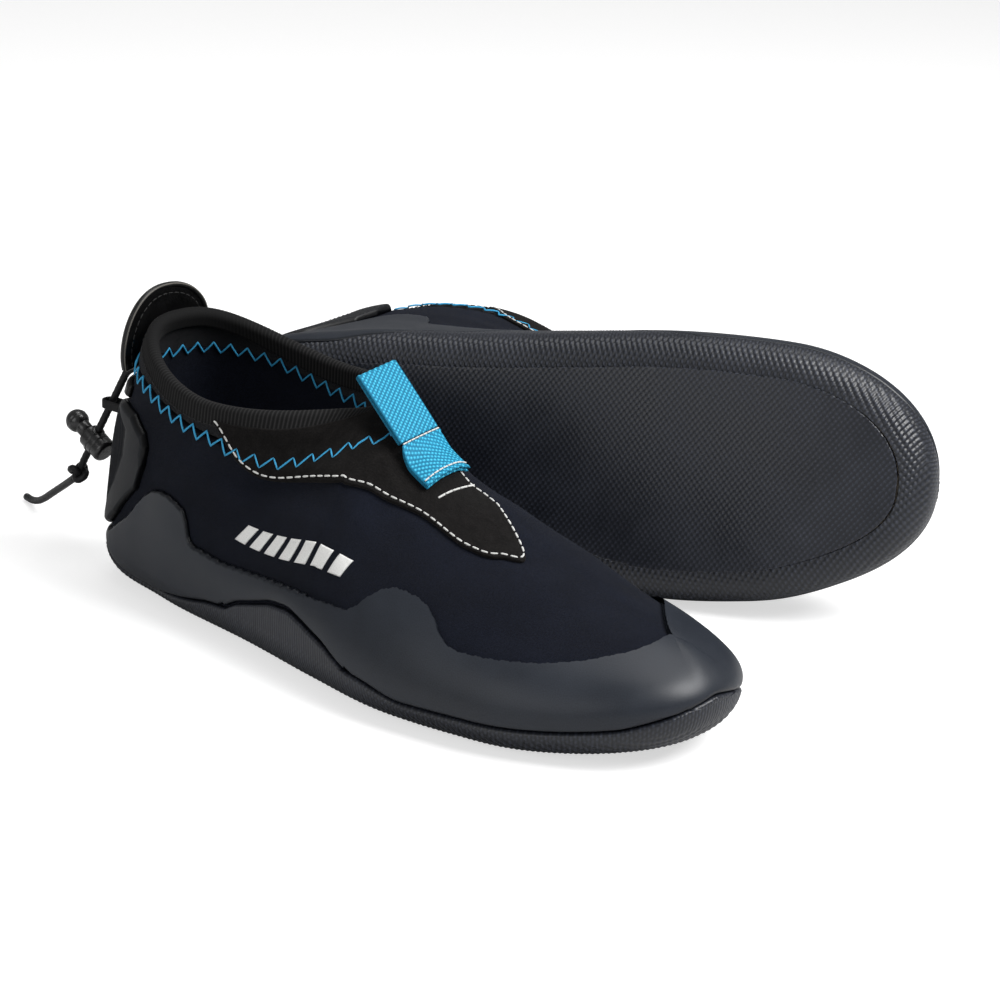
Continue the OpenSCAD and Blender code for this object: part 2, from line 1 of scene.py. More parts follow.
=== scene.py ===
"""Looks for a pair of low neoprene water boots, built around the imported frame.

Shapes are worked out in millimetres in one boot's own measures: x from the back of the heel to the
toe, y to the inner side, z up from the sole. A point on the boot's skin has a side (0 outer, 1 inner),
a station (0 at the back of the heel, 50 at the collar's front, 100 at the toe) and a share (-100 under
the sole edge, 0 at the widest line, 100 at the top line).
"""
import math

import bmesh
import bpy
import numpy as np
from mathutils import Matrix, Vector


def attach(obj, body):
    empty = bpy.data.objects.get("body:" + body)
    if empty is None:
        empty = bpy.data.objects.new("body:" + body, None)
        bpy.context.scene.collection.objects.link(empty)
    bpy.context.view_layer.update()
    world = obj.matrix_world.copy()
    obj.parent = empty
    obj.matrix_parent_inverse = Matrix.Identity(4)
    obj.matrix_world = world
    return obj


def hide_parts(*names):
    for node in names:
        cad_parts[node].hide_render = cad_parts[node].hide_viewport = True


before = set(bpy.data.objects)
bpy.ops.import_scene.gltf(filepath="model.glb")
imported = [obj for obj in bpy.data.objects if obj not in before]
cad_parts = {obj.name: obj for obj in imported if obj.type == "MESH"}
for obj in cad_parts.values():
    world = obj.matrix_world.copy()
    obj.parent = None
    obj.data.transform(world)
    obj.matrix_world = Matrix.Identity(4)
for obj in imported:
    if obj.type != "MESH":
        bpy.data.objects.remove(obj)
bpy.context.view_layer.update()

MM = 0.001
BOOTS = ("right", "left")

# ---- driving sizes, in mm, as in the design ----

LENGTH = 280.0
SOLE = 3.5
EDGE_R = 10.5
WRAP = 2.2
NEOPRENE = 3.0
GAP = 0.35
RAND = 1.5
COUNTER = 2.6
OVERLAY = 1.0
COLLAR_BACK, COLLAR_LOW, COLLAR_FRONT = 101.5, 84.0, 89.0
COLLAR_X0, COLLAR_X1, COLLAR_HALF, COLLAR_Y = 22.0, 131.0, 37.0, 4.0
TOE_RISE, HEEL_RISE = 9.0, 3.0
HEEL_ROUND, TOE_ROUND = 33.0, 56.0
WIDTHS = (
    [(0, 30), (25, 27.5), (60, 34), (100, 39.5), (140, 47), (175, 52), (215, 48), (250, 40), (280, 36)],
    [(0, 29), (25, 26.5), (60, 31.5), (100, 35), (140, 40), (175, 44.5), (215, 46), (250, 44), (280, 42)],
)
RIDGE_END = 260.0
RIDGE = [
    (131, COLLAR_FRONT), (142, 82.5), (152, 75), (165, 68.5), (180, 64), (195, 59),
    (210, 53), (222, 48.5), (235, 44.5), (250, 40.5), (RIDGE_END, 37),
]
RISE = [(0, 0.3), (25, 0.38), (50, 0.34), (70, 0.36), (100, 0.34)]
BULGE = [(0, -3), (12, 0), (25, 2), (50, 3), (75, 2), (100, 2)]
CROWN = [(50, 0.42), (70, 0.43), (100, 0.4)]
LEAN = [(0, 0.5), (10, 0.35), (25, 0.1), (40, 0.15), (50, 0.4)]
# Edges of the layers: share against station
WRAP_EDGE = [
    (0, 0), (7, -5), (10, -35), (14, -50), (20, -50), (27, -28), (32, -8), (38, 5), (44, 12),
    (47.5, 13), (54, 7), (60, -5), (64.5, -25), (72, -22), (90, -20), (95, -8), (100, 12),
]
RAND_EDGE = [
    (0, 3), (6, 3), (9, 7), (15, 22), (18, 37), (20, 44), (22.5, 45), (25, 42), (26.5, 38),
    (28, 24), (34, 21), (51, 21), (57, 26), (59.5, 38), (61.5, 43), (65, 43), (67, 40),
    (69, 31), (71, 29), (75, 32), (80.5, 38), (85, 46), (90, 60), (93, 75), (95, 90), (97, 100), (100, 100),
]
RAND_INNER = [e for e in RAND_EDGE if e[0] < 72] + [
    (76, 36), (81, 52), (85, 66), (89, 79), (93, 91), (97, 100), (100, 100),
]
COUNTER_LOW = [(0, 6), (6.6, 7), (9, 11), (11.3, 18), (16, 37), (17, 52)]
COUNTER_TOP = [(0, 58), (9, 70), (13, 72), (16, 68), (17, 62)]
SEAM = [
    (0, 82), (10, 85), (15, 87), (21, 86), (27, 83), (30, 78), (36, 74), (39, 72), (46.4, 69),
    (50, 73), (52, 81), (53.5, 100), (100, 100),
]
# Edges of the instep overlay: column, station, share
OVERLAY_TOP = [(0, 27, 93), (42, 46.5, 93), (50, 50.5, 100), (100, 64.5, 100)]
OVERLAY_EDGE = (
    [
        (0, 26, 93), (12, 31, 73), (28, 39, 62), (44, 49, 57), (55, 54, 64), (66, 60, 71), (80, 67, 70),
        (90, 71, 75), (96, 73, 85), (100, 67, 99),
    ],
    [(0, 26, 93), (12, 31, 73), (28, 38, 64), (50, 47, 67), (70, 54, 83), (90, 61, 96), (100, 65, 100)],
)
# The print row: its stations, the shares of its foot and top, and how far its middle dips
PRINT_FROM, PRINT_TO = 35, 55
PRINT_LOW, PRINT_HIGH, PRINT_DIP = 29, 37, 5
SOLE_MIDDLE = np.array([LENGTH / 2, 0, 0])
LEFT_AT = np.array([4, 41, 57.2])
LEFT_TURN = (21.6, -100.8, 0.2)

# ---- camera, first, with the cords ----

CAMERA_TARGET = np.array([140, 53, 45]) - SOLE_MIDDLE
CAMERA_AWAY = 977.0
CAMERA_TILT, CAMERA_TURN, CAMERA_ROLL = math.radians(18), math.radians(40.4), math.radians(2.25)
CAMERA_LENS = 96.44


def make_camera():
    camera = bpy.data.objects.new("camera", bpy.data.cameras.new("camera"))
    bpy.context.scene.collection.objects.link(camera)
    right = Vector((math.cos(CAMERA_TURN), math.sin(CAMERA_TURN), 0))
    level = Vector((-math.sin(CAMERA_TURN), math.cos(CAMERA_TURN), 0))
    ahead = level * math.cos(CAMERA_TILT) - Vector((0, 0, 1)) * math.sin(CAMERA_TILT)
    up = right.cross(ahead)
    rolled = right * math.cos(CAMERA_ROLL) + up * math.sin(CAMERA_ROLL)
    up = up * math.cos(CAMERA_ROLL) - right * math.sin(CAMERA_ROLL)
    place = Vector(CAMERA_TARGET) * MM - ahead * CAMERA_AWAY * MM
    turn = Matrix((rolled, up, -ahead)).transposed().to_4x4()
    camera.matrix_world = Matrix.Translation(place) @ turn
    camera.data.lens = CAMERA_LENS
    camera.data.sensor_width = 36
    camera.data.clip_start = 0.01
    bpy.context.scene.camera = camera


make_camera()


def turn_x(angle):
    c, s = math.cos(math.radians(angle)), math.sin(math.radians(angle))
    return np.array([[1, 0, 0], [0, c, -s], [0, s, c]])


def turn_y(angle):
    c, s = math.cos(math.radians(angle)), math.sin(math.radians(angle))
    return np.array([[c, 0, s], [0, 1, 0], [-s, 0, c]])


def turn_z(angle):
    c, s = math.cos(math.radians(angle)), math.sin(math.radians(angle))
    return np.array([[c, -s, 0], [s, c, 0], [0, 0, 1]])


LEFT_MATRIX = turn_z(LEFT_TURN[0]) @ turn_x(LEFT_TURN[1]) @ turn_z(LEFT_TURN[2]) @ np.diag([1, -1, 1])


def to_row(boot, points):
    """Points of the right-hand design, in mm, as they lie in the row frame, in metres."""
    points = np.asarray(points, float)
    if boot == "left":
        points = points @ LEFT_MATRIX.T + LEFT_AT
    return (points - SOLE_MIDDLE) * MM


# ---- materials ----


class Nodes:
    """A small helper for building one material's node tree."""

    def __init__(self, name, color, roughness, **sockets):
        self.material = bpy.data.materials.new(name)
        self.material.use_nodes = True
        self.tree = self.material.node_tree
        self.tree.nodes.clear()
        self.shader = self.tree.nodes.new("ShaderNodeBsdfPrincipled")
        out = self.tree.nodes.new("ShaderNodeOutputMaterial")
        self.tree.links.new(self.shader.outputs[0], out.inputs[0])
        self.shader.inputs["Base Color"].default_value = (*color, 1)
        self.shader.inputs["Roughness"].default_value = roughness
        for key, value in sockets.items():
            self.shader.inputs[key.replace("_", " ").title().replace("Ior", "IOR")].default_value = value
        self.bump = None

    def link(self, output, node, socket):
        self.tree.links.new(output, node.inputs[socket])

    def attribute(self, name, output="Vector"):
        node = self.tree.nodes.new("ShaderNodeAttribute")
        node.attribute_name = name
        return node.outputs[output]

    def place(self):
        return self.tree.nodes.new("ShaderNodeTexCoord").outputs["Object"]

    def stretch(self, vector, scale, turn=0.0):
        node = self.tree.nodes.new("ShaderNodeMapping")
        node.inputs["Scale"].default_value = scale
        node.inputs["Rotation"].default_value = (0, 0, turn)
        self.link(vector, node, "Vector")
        return node.outputs[0]

    def noise(self, vector, scale, detail=3.0, rough=0.55):
        node = self.tree.nodes.new("ShaderNodeTexNoise")
        node.inputs["Scale"].default_value = scale
        node.inputs["Detail"].default_value = detail
        node.inputs["Roughness"].default_value = rough
        self.link(vector, node, "Vector")
        return node.outputs["Fac"]

    def cells(self, vector, scale, feature="F1"):
        node = self.tree.nodes.new("ShaderNodeTexVoronoi")
        node.feature = feature
        node.inputs["Scale"].default_value = scale
        self.link(vector, node, "Vector")
        return node.outputs["Distance"]

    def wave(self, vector, scale, direction="X", distortion=0.0):
        node = self.tree.nodes.new("ShaderNodeTexWave")
        node.bands_direction = direction
        node.inputs["Scale"].default_value = scale
        node.inputs["Distortion"].default_value = distortion
        node.inputs["Detail"].default_value = 1
        self.link(vector, node, "Vector")
        return node.outputs["Fac"]

    def math(self, operation, a, b=0.5):
        node = self.tree.nodes.new("ShaderNodeMath")
        node.operation = operation
        for index, value in enumerate((a, b)):
            if isinstance(value, (int, float)):
                node.inputs[index].default_value = value
            else:
                self.tree.links.new(value, node.inputs[index])
        return node.outputs[0]

    def ramp(self, value, stops):
        node = self.tree.nodes.new("ShaderNodeValToRGB")
        ramp = node.color_ramp
        while len(ramp.elements) < len(stops):
            ramp.elements.new(0.5)
        for element, (at, color) in zip(ramp.elements, stops):
            element.position = at
            element.color = (*color, 1)
        self.link(value, node, "Fac")
        return node.outputs["Color"]

    def color(self, output):
        self.link(output, self.shader, "Base Color")

    def roughness(self, value, low, high):
        node = self.tree.nodes.new("ShaderNodeMapRange")
        node.inputs["To Min"].default_value = low
        node.inputs["To Max"].default_value = high
        self.link(value, node, "Value")
        self.link(node.outputs[0], self.shader, "Roughness")

    def relief(self, height, millimetres, strength=1.0):
        node = self.tree.nodes.new("ShaderNodeBump")
        node.inputs["Strength"].default_value = strength
        node.inputs["Distance"].default_value = millimetres * MM
        self.link(height, node, "Height")
        if self.bump is not None:
            self.link(self.bump, node, "Normal")
        self.bump = node.outputs[0]
        self.link(self.bump, self.shader, "Normal")


def shade(color, factor):
    return tuple(min(1.0, c * factor) for c in color)


def knit(name, color, pitch, depth, sheen=0.02, roughness=0.9):
    """A fine jersey: vertical wales crossed by short loops, with a soft sheen and a dusty tone change."""
    m = Nodes(name, color, roughness, sheen_weight=sheen, sheen_roughness=0.4, specular_ior_level=0.12)
    flat = m.attribute("flat")
    wales = m.wave(m.stretch(flat, (1, 1, 1)), 1 / pitch / 6.2832 * 20, "X", 0.3)
    loops = m.wave(m.stretch(flat, (1, 1, 1)), 1 / pitch / 6.2832 * 28, "Y", 0.5)
    weave = m.math("MULTIPLY", wales, loops)
    clouds = m.noise(flat, 0.05, 4)
    specks = m.noise(flat, 1.6, 2, 0.7)
    tone = m.math("ADD", m.math("MULTIPLY", specks, 0.55), m.math("MULTIPLY", weave, 0.25))
    tone = m.math("ADD", tone, m.math("MULTIPLY", clouds, 0.25))
    m.color(m.ramp(tone, [(0.3, shade(color, 0.4)), (0.52, color), (0.72, shade(color, 2.3))]))
    m.relief(m.noise(flat, 0.07, 2), 0.5, 0.5)
    m.relief(weave, depth, 0.8)
    m.relief(specks, depth * 0.6, 0.6)
    return m.material


def rubber(name, color, roughness, pebble, spot=0.0, shine=0.3, painted_shade=0.35, top=1.2):
    """Moulded rubber: fine pebbles, cloudy gloss, painted shade darkening its hollows and free edges, which
    are also less rough.
    """
    m = Nodes(name, color, roughness, specular_ior_level=shine)
    flat = m.attribute("flat")
    fine = m.noise(flat, 2.2, 3, 0.65)
    clouds = m.noise(flat, 0.045, 4)
    edge = m.attribute("edge", "Fac")
    tone = m.math("ADD", m.math("MULTIPLY", fine, 0.6), m.math("MULTIPLY", clouds, 0.3))
    # Painted shade: the tone is darkened where the edge attribute is high, in the hollows of the tread and
    # wrap and along the free edges of shells.
    tone = m.math("ADD", tone, m.math("MULTIPLY", edge, -painted_shade))
    m.color(m.ramp(tone, [(0.12, shade(color, 0.25)), (0.42, shade(color, 0.85)), (0.62, shade(color, top))]))
    gloss = m.math("SUBTRACT", m.math("MULTIPLY", clouds, 1.2), m.math("MULTIPLY", edge, 0.6))
    m.roughness(gloss, roughness - 0.14, roughness + 0.1)
    m.relief(clouds, 0.3, 0.15)
    m.relief(fine, pebble, 0.5)
    if spot:
        drips = m.math("GREATER_THAN", m.noise(flat, 0.55, 2, 0.7), 1 - spot)
        m.relief(drips, 0.15, 0.5)
    return m.material


def suede(name, color):
    """Brushed microfibre: short nap in clumps, almost no shine."""
    m = Nodes(name, color, 0.95, sheen_weight=0.03, sheen_roughness=0.5, specular_ior_level=0.08)
    flat = m.attribute("flat")
    nap = m.noise(flat, 1.5, 5, 0.75)
    clumps = m.noise(flat, 0.25, 3)
    tone = m.math("ADD", m.math("MULTIPLY", nap, 0.7), m.math("MULTIPLY", clumps, 0.3))
    m.color(m.ramp(tone, [(0.35, shade(color, 0.5)), (0.5, color), (0.68, shade(color, 2.1))]))
    m.relief(nap, 0.35, 0.8)
    m.relief(clumps, 0.3, 0.4)
    return m.material


def yarn(name, color, light, roughness=0.6, sheen=0.03):
    """Spun or filament yarn: relief is in the mesh, the nodes add fibres and a painted highlight that
    lightens the crowns.
    """
    m = Nodes(name, color, roughness, sheen_weight=sheen, sheen_roughness=0.3, specular_ior_level=0.2)
    flat = m.attribute("flat")
    fibre = m.noise(m.stretch(flat, (2.5, 0.6, 1)), 2.2, 4, 0.6)
    crown_highlight = m.attribute("edge", "Fac")
    # Painted highlight: the edge attribute marks rib and weave crowns and lightens them towards the light
    # colour.
    tone = m.math("ADD", m.math("MULTIPLY", fibre, 0.5), m.math("MULTIPLY", crown_highlight, 0.5))
    m.color(m.ramp(tone, [(0.15, shade(color, 0.35)), (0.45, color), (0.75, light)]))
    m.relief(fibre, 0.12, 0.7)
    return m.material


def grain(name, color, roughness):
    """Smooth synthetic leather with a fine pebbled grain."""
    m = Nodes(name, color, roughness, coat_weight=0.08, coat_roughness=0.35, specular_ior_level=0.4)
    flat = m.attribute("flat")
    pebbles = m.cells(flat, 0.9)
    clouds = m.noise(flat, 0.12, 4)
    m.color(m.ramp(clouds, [(0.3, shade(color, 0.6)), (0.7, shade(color, 1.6))]))
    m.roughness(clouds, roughness - 0.1, roughness + 0.12)
    m.relief(pebbles, 0.1, 0.5)
    return m.material


def ink(name, color):
    """Screen print, slightly open over the knit below it."""
    m = Nodes(name, color, 0.55)
    flat = m.attribute("flat")
    pores = m.noise(flat, 2.2, 3, 0.7)
    m.color(m.ramp(pores, [(0.25, shade(color, 0.55)), (0.42, color), (0.7, shade(color, 1.1))]))
    m.relief(pores, 0.15, 0.6)
    return m.material


def plastic(name, color, roughness):
    """Moulded plastic with faint flow marks and scuffs."""
    m = Nodes(name, color, roughness, coat_weight=0.3, coat_roughness=0.15)
    place = m.place()
    marks = m.noise(place, 400, 3)
    m.color(m.ramp(marks, [(0.3, shade(color, 0.7)), (0.7, shade(color, 1.6))]))
    m.roughness(marks, roughness - 0.06, roughness + 0.14)
    m.relief(marks, 0.05, 0.4)
    return m.material


def wire(name, color):
    m = Nodes(name, color, 0.3, metallic=1.0)
    place = m.place()
    drawn = m.noise(m.stretch(place, (1, 40, 40)), 60, 3)
    m.roughness(drawn, 0.2, 0.45)
    m.relief(drawn, 0.02, 0.4)
    return m.material


def board(name, color):
    m = Nodes(name, color, 0.9)
    place = m.place()
    fibres = m.noise(m.stretch(place, (1, 3, 1)), 900, 4, 0.7)
    m.color(m.ramp(fibres, [(0.3, shade(color, 0.6)), (0.7, shade(color, 1.3))]))
    m.relief(fibres, 0.2, 0.6)
    return m.material


WHITE = (0.82, 0.82, 0.8)
MATERIALS = {
    "neoprene": knit("neoprene knit", (0.0068, 0.009, 0.0175), 0.8, 0.12),
    "lining": knit("lining knit", (0.0025, 0.0026, 0.003), 0.9, 0.15),
    "collar_knit": knit("collar knit", (0.0115, 0.012, 0.015), 0.7, 0.22, 0.06),
    # In each yarn the second colour is the painted highlight on its crowns.
    "binding": yarn("ribbed binding", (0.006, 0.006, 0.0063), (0.03, 0.0295, 0.03), 0.85, 0.03),
    # In each rubber the seventh value sets the painted shade in hollows and along free edges (the rand uses
    # the default).
    "rand_rubber": rubber("rand rubber", (0.017, 0.021, 0.0295), 0.42, 0.07, 0.0, 0.36),
    "counter_rubber": rubber("counter rubber", (0.008, 0.0092, 0.012), 0.48, 0.12, 0.34, 0.22, 0.6, 1.6),
    "wrap_rubber": rubber("wrap rubber", (0.035, 0.04, 0.056), 0.42, 0.05, 0.0, 0.45, 0.9, 1.7),
    "sole_rubber": rubber("sole rubber", (0.038, 0.0435, 0.062), 0.4, 0.05, 0.0, 0.5, 0.9, 1.9),
    "overlay": suede("instep microfibre", (0.0075, 0.0068, 0.0066)),
    "webbing": yarn("blue webbing", (0.01, 0.24, 0.42), (0.09, 0.62, 0.86), 0.6, 0.05),
    "blue_thread": yarn("blue thread", (0.03, 0.28, 0.55), (0.12, 0.62, 0.85), 0.5),
    "white_thread": yarn("white thread", (0.6, 0.6, 0.58), (0.9, 0.9, 0.88), 0.6),
    "dark_thread": yarn("dark thread", (0.02, 0.02, 0.02), (0.06, 0.06, 0.06), 0.6),
    "tab": grain("tab leather", (0.002, 0.002, 0.0022), 0.45),
    "piping": yarn("light piping", (0.1, 0.095, 0.085), (0.25, 0.24, 0.22), 0.6),
    "print": ink("side print", WHITE),
    "cord": yarn("braided cord", (0.006, 0.006, 0.0065), (0.045, 0.045, 0.048), 0.42),
    "keeper": yarn("keeper tape", (0.008, 0.008, 0.0085), (0.03, 0.03, 0.032), 0.6),
    "lock": plastic("lock plastic", (0.007, 0.007, 0.0075), 0.24),
    "spring": wire("spring wire", (0.6, 0.6, 0.62)),
    "board": board("lasting board", (0.4, 0.35, 0.28)),
    "foam": knit("footbed cloth", (0.005, 0.005, 0.006), 1.2, 0.25),
}

# ---- the boot's skin ----


def lookup(x, rows):
    rows = np.asarray(rows, float)
    return np.interp(x, rows[:, 0], rows[:, 1])


def softened(x, rows, reach=1.0):
    """The same, with its corners rounded over reach on both sides."""
    return sum(lookup(np.clip(x + k * reach / 3, 0, 100), rows) for k in range(-3, 4)) / 7


def smooth(x, rows):
    """Smooth curve through the rows of a table."""
    rows = np.asarray(rows, float)
    xs, ys = rows[:, 0], rows[:, 1]
    x = np.clip(x, xs[0], xs[-1])
    i = np.clip(np.searchsorted(xs, x, "right") - 1, 0, len(xs) - 2)
    rate = np.diff(ys) / np.diff(xs)
    slope = np.concatenate([[rate[0]], (rate[1:] + rate[:-1]) / 2, [rate[-1]]])
    h = xs[i + 1] - xs[i]
    s = (x - xs[i]) / h
    start = ys[i] * (1 + 2 * s) * (1 - s) ** 2 + slope[i] * h * s * (1 - s) ** 2
    return start + ys[i + 1] * s * s * (3 - 2 * s) + slope[i + 1] * h * s * s * (s - 1)


def ease(x):
    t = np.clip(x, 0, 1)
    return t * t * (3 - 2 * t)


def unit(v):
    return v / np.maximum(np.linalg.norm(v, axis=-1, keepdims=True), 1e-12)


def taper(t):
    return np.maximum(0, 1 - np.clip(t, 0, 1) ** 2.2) ** (1 / 2.2)


def half_width(side, x):
    near_heel = taper((HEEL_ROUND + WRAP - x) / HEEL_ROUND)
    near_toe = taper((x - LENGTH + WRAP + TOE_ROUND) / TOE_ROUND)
    return smooth(x, WIDTHS[side]) * near_heel * near_toe


def spring(x):
    toe = TOE_RISE * np.clip((x - LENGTH + 65) / 65, 0, 1) ** 2
    return toe + HEEL_RISE * np.clip((25 - x) / 25, 0, 1) ** 2


def base_x(st):
    half = LENGTH / 2 - WRAP
    near = np.where(st < 50, st / 50, 2 - st / 50)
    crowd = near * near * 1.25 / (near + 0.25)
    return np.where(st < 50, WRAP + half * crowd, LENGTH - WRAP - half * crowd)


def outline(side, st):
    x = base_x(st)
    y = (1 if side else -1) * half_width(side, x)
    return np.stack([x, y, np.zeros_like(x)], -1)


def outward(side, st):
    t = outline(side, np.minimum(st + 1, 100)) - outline(side, np.maximum(st - 1, 0))
    sign = 1 if side else -1
    n = unit(np.stack([-sign * t[..., 1], sign * t[..., 0], np.zeros_like(t[..., 0])], -1))
    n[st <= 0] = (-1, 0, 0)
    n[st >= 100] = (1, 0, 0)
    return n


def top_line(side, st):
    x = base_x(st)
    turn = np.minimum(st / 50, 1) * math.pi
    c, s = np.cos(turn), np.sin(turn)
    xr = COLLAR_X1 + (x - LENGTH / 2) * (RIDGE_END - COLLAR_X1) / (LENGTH / 2 - WRAP)
    ridge_y = COLLAR_Y - 2 * (xr - COLLAR_X1) / (RIDGE_END - COLLAR_X1)
    on_ridge = np.stack([xr, ridge_y, smooth(xr, RIDGE)], -1)
    middle = (COLLAR_X0 + COLLAR_X1) / 2
    sign = 1 if side else -1
    around = np.maximum(s, 0) ** (0.8 + 0.4 * np.maximum(0, -c))
    back = (COLLAR_BACK - COLLAR_LOW) * np.maximum(0, c) ** 1.8
    front = (COLLAR_FRONT - COLLAR_LOW) * np.maximum(0, -c) ** 1.8
    rim = np.stack([
        middle - (COLLAR_X1 - COLLAR_X0) / 2 * c,
        COLLAR_Y + sign * COLLAR_HALF * around,
        COLLAR_LOW + back + front,
    ], -1)
    return np.where((st >= 50)[..., None], on_ridge, rim)


def raw_skin(side, st, sh):
    x = base_x(st)
    n = outward(side, st)
    t = top_line(side, st)
    base = outline(side, st)
    base[..., 2] = SOLE + EDGE_R + spring(x)
    h = (t[..., 2] - base[..., 2])[..., None]
    up = np.array([0, 0, 1.0])
    rim = t - (up - n * smooth(st, LEAN)[..., None]) * 0.34 * h
    fall = (smooth(t[..., 0] + 1, RIDGE) - smooth(t[..., 0] - 1, RIDGE)) / 2
    run = base - t
    run[..., 2] = run[..., 0] * fall
    dome = t + run * smooth(st, CROWN)[..., None]
    w = ease((st - 33) / 17)[..., None]
    low = base + up * smooth(st, RISE)[..., None] * h + n * smooth(st, BULGE)[..., None]
    high = rim * (1 - w) + dome * w
    s = np.clip(sh / 100, 0, 1)[..., None]
    r = 1 - s
    wall = r ** 3 * base + 3 * s * r * r * low + 3 * s * s * r * high + s ** 3 * t
    turn = np.radians(np.maximum(-sh, 0) * 0.9)[..., None]
    under = base - n * EDGE_R * (1 - np.cos(turn))
    under[..., 2] = SOLE + EDGE_R * (1 - np.sin(turn[..., 0])) + spring(under[..., 0])
    return np.where((sh >= 0)[..., None], wall, under)


STATIONS = np.linspace(0, 100, 401)
SHARES = np.linspace(-100, 100, 201)


def ripples(side, st, sh):
    """Soft hollows and folds of the stretched neoprene, in mm."""
    up = ease((sh - 15) / 30)
    sign = 1 if side else -1
    ankle = np.exp(-((st - 42) / 16) ** 2) * np.sin(0.33 * (sh + 0.9 * st) + sign) * 0.35
    vamp = np.exp(-((st - 70) / 14) ** 2) * np.sin(0.42 * st - 0.1 * sh + 2) * 0.3
    broad = 0.3 * np.sin(0.11 * st + 0.05 * sh * sign) * np.sin(0.07 * sh + 0.6)
    fade = np.where(st > 50, ease((100 - sh) / 12), 1)
    return up * (ankle + vamp + broad) * fade


def make_skin():
    st, sh = np.meshgrid(STATIONS, SHARES, indexing="ij")
    places = []
    normals = []
    for side in (0, 1):
        p = raw_skin(side, st, sh)
        along = np.gradient(p, axis=0)
        across = np.gradient(p, axis=1)
        n = unit(np.cross(along, across) * (1 if side == 0 else -1))
        places.append(p)
        normals.append(n)
    front = STATIONS > 49.99
    top = unit(normals[0][front, -2] + normals[1][front, -2])
    for n in normals:
        n[front, -1] = top
    for row, near in ((0, 2), (-1, -3)):
        ends = normals[0][near] + normals[1][near]
        ends[:, 1] = 0
        for n in normals:
            n[row] = unit(ends)
            n[near // 2 if row == 0 else -2] = unit(n[row] + n[near])
    for side in (0, 1):
        fade = ease(st / 6) * ease((100 - st) / 6)
        places[side] = places[side] + normals[side] * (ripples(side, st, sh) * fade)[..., None]
    return np.array(places), np.array(normals)


PLACES, NORMALS = make_skin()
if np.sum((PLACES[0, 200, 100] + NORMALS[0, 200, 100])[1] - PLACES[0, 200, 100][1]) > 0:
    NORMALS = -NORMALS


def sample(table, side, st, sh):
    side = np.asarray(side)
    a = np.clip(st / 0.25, 0, len(STATIONS) - 1.001)
    b = np.clip(sh + 100, 0, len(SHARES) - 1.001)
    i, j = a.astype(int), b.astype(int)
    u, v = (a - i)[..., None], (b - j)[..., None]
    low = table[side, i, j] * (1 - u) + table[side, i + 1, j] * u
    high = table[side, i, j + 1] * (1 - u) + table[side, i + 1, j + 1] * u
    return low * (1 - v) + high * v


def on_skin(side, st, sh, off=0.0):
    side, st, sh, off = np.broadcast_arrays(side, np.asarray(st, float), np.asarray(sh, float), off)
    return sample(PLACES, side, st, sh) + unit(sample(NORMALS, side, st, sh)) * off[..., None]


def over(x, y):
    """Point and normal of the skin above a place on the instep."""
    p = PLACES[:, :, 160:].reshape(-1, 3)
    n = NORMALS[:, :, 160:].reshape(-1, 3)
    k = np.argmin((p[:, 0] - x) ** 2 + (p[:, 1] - y) ** 2)
    z = p[k, 2] - ((x - p[k, 0]) * n[k, 0] + (y - p[k, 1]) * n[k, 1]) / n[k, 2]
    return np.array([x, y, z]), n[k]


# ---- meshes ----


def grid_faces(n, m, wrap_n=False, wrap_m=False, start=0, flip=False):
    i = np.arange(n if wrap_n else n - 1)
    j = np.arange(m if wrap_m else m - 1)
    i, j = np.meshgrid(i, j, indexing="ij")
    a = i * m + j
    b = ((i + 1) % n) * m + j
    c = ((i + 1) % n) * m + (j + 1) % m
    d = i * m + (j + 1) % m
    quads = np.stack([a, b, c, d] if not flip else [a, d, c, b], -1).reshape(-1, 4)
    return quads + start


class Shape:
    """Points, faces and two point attributes, gathered before they become a mesh."""

    def __init__(self):
        self.points, self.faces, self.flat, self.edge = [], [], [], []
        self.count = 0

    def add(self, points, faces, flat=None, edge=None):
        points = np.asarray(points, float).reshape(-1, 3)
        n = len(points)
        self.points.append(points)
        self.faces.append(faces + self.count)
        self.flat.append(points * 1.0 if flat is None else np.asarray(flat, float).reshape(-1, 3))
        self.edge.append(np.zeros(n) if edge is None else np.broadcast_to(edge, n).astype(float).ravel())
        self.count += n
        return self

    def parts(self):
        return (np.concatenate(self.points), np.concatenate(self.faces),
                np.concatenate(self.flat), np.concatenate(self.edge))


def build(name, points, faces, flat, edge, material):
    """A welded closed mesh in the row frame, faces turned outward."""
    mesh = bpy.data.meshes.new(name)
    mesh.vertices.add(len(points))
    mesh.vertices.foreach_set("co", points.ravel())
    mesh.loops.add(faces.size)
    mesh.loops.foreach_set("vertex_index", faces.ravel().astype(np.int32))
    mesh.polygons.add(len(faces))
    mesh.polygons.foreach_set("loop_start", np.arange(0, faces.size, 4, dtype=np.int32))
    mesh.update(calc_edges=True)
    mesh.attributes.new("flat", "FLOAT_VECTOR", "POINT").data.foreach_set("vector", flat.ravel())
    mesh.attributes.new("edge", "FLOAT", "POINT").data.foreach_set("value", edge)
    work = bmesh.new()
    work.from_mesh(mesh)
    bmesh.ops.remove_doubles(work, verts=work.verts, dist=2e-6)
    bmesh.ops.dissolve_degenerate(work, edges=work.edges, dist=1e-7)
    if work.calc_volume(signed=True) < 0:
        bmesh.ops.reverse_faces(work, faces=work.faces)
    for face in work.faces:
        face.smooth = True
    work.to_mesh(mesh)
    work.free()
    mesh.materials.append(MATERIALS[material])
    piece = bpy.data.objects.new(name, mesh)
    bpy.context.scene.collection.objects.link(piece)
    return piece


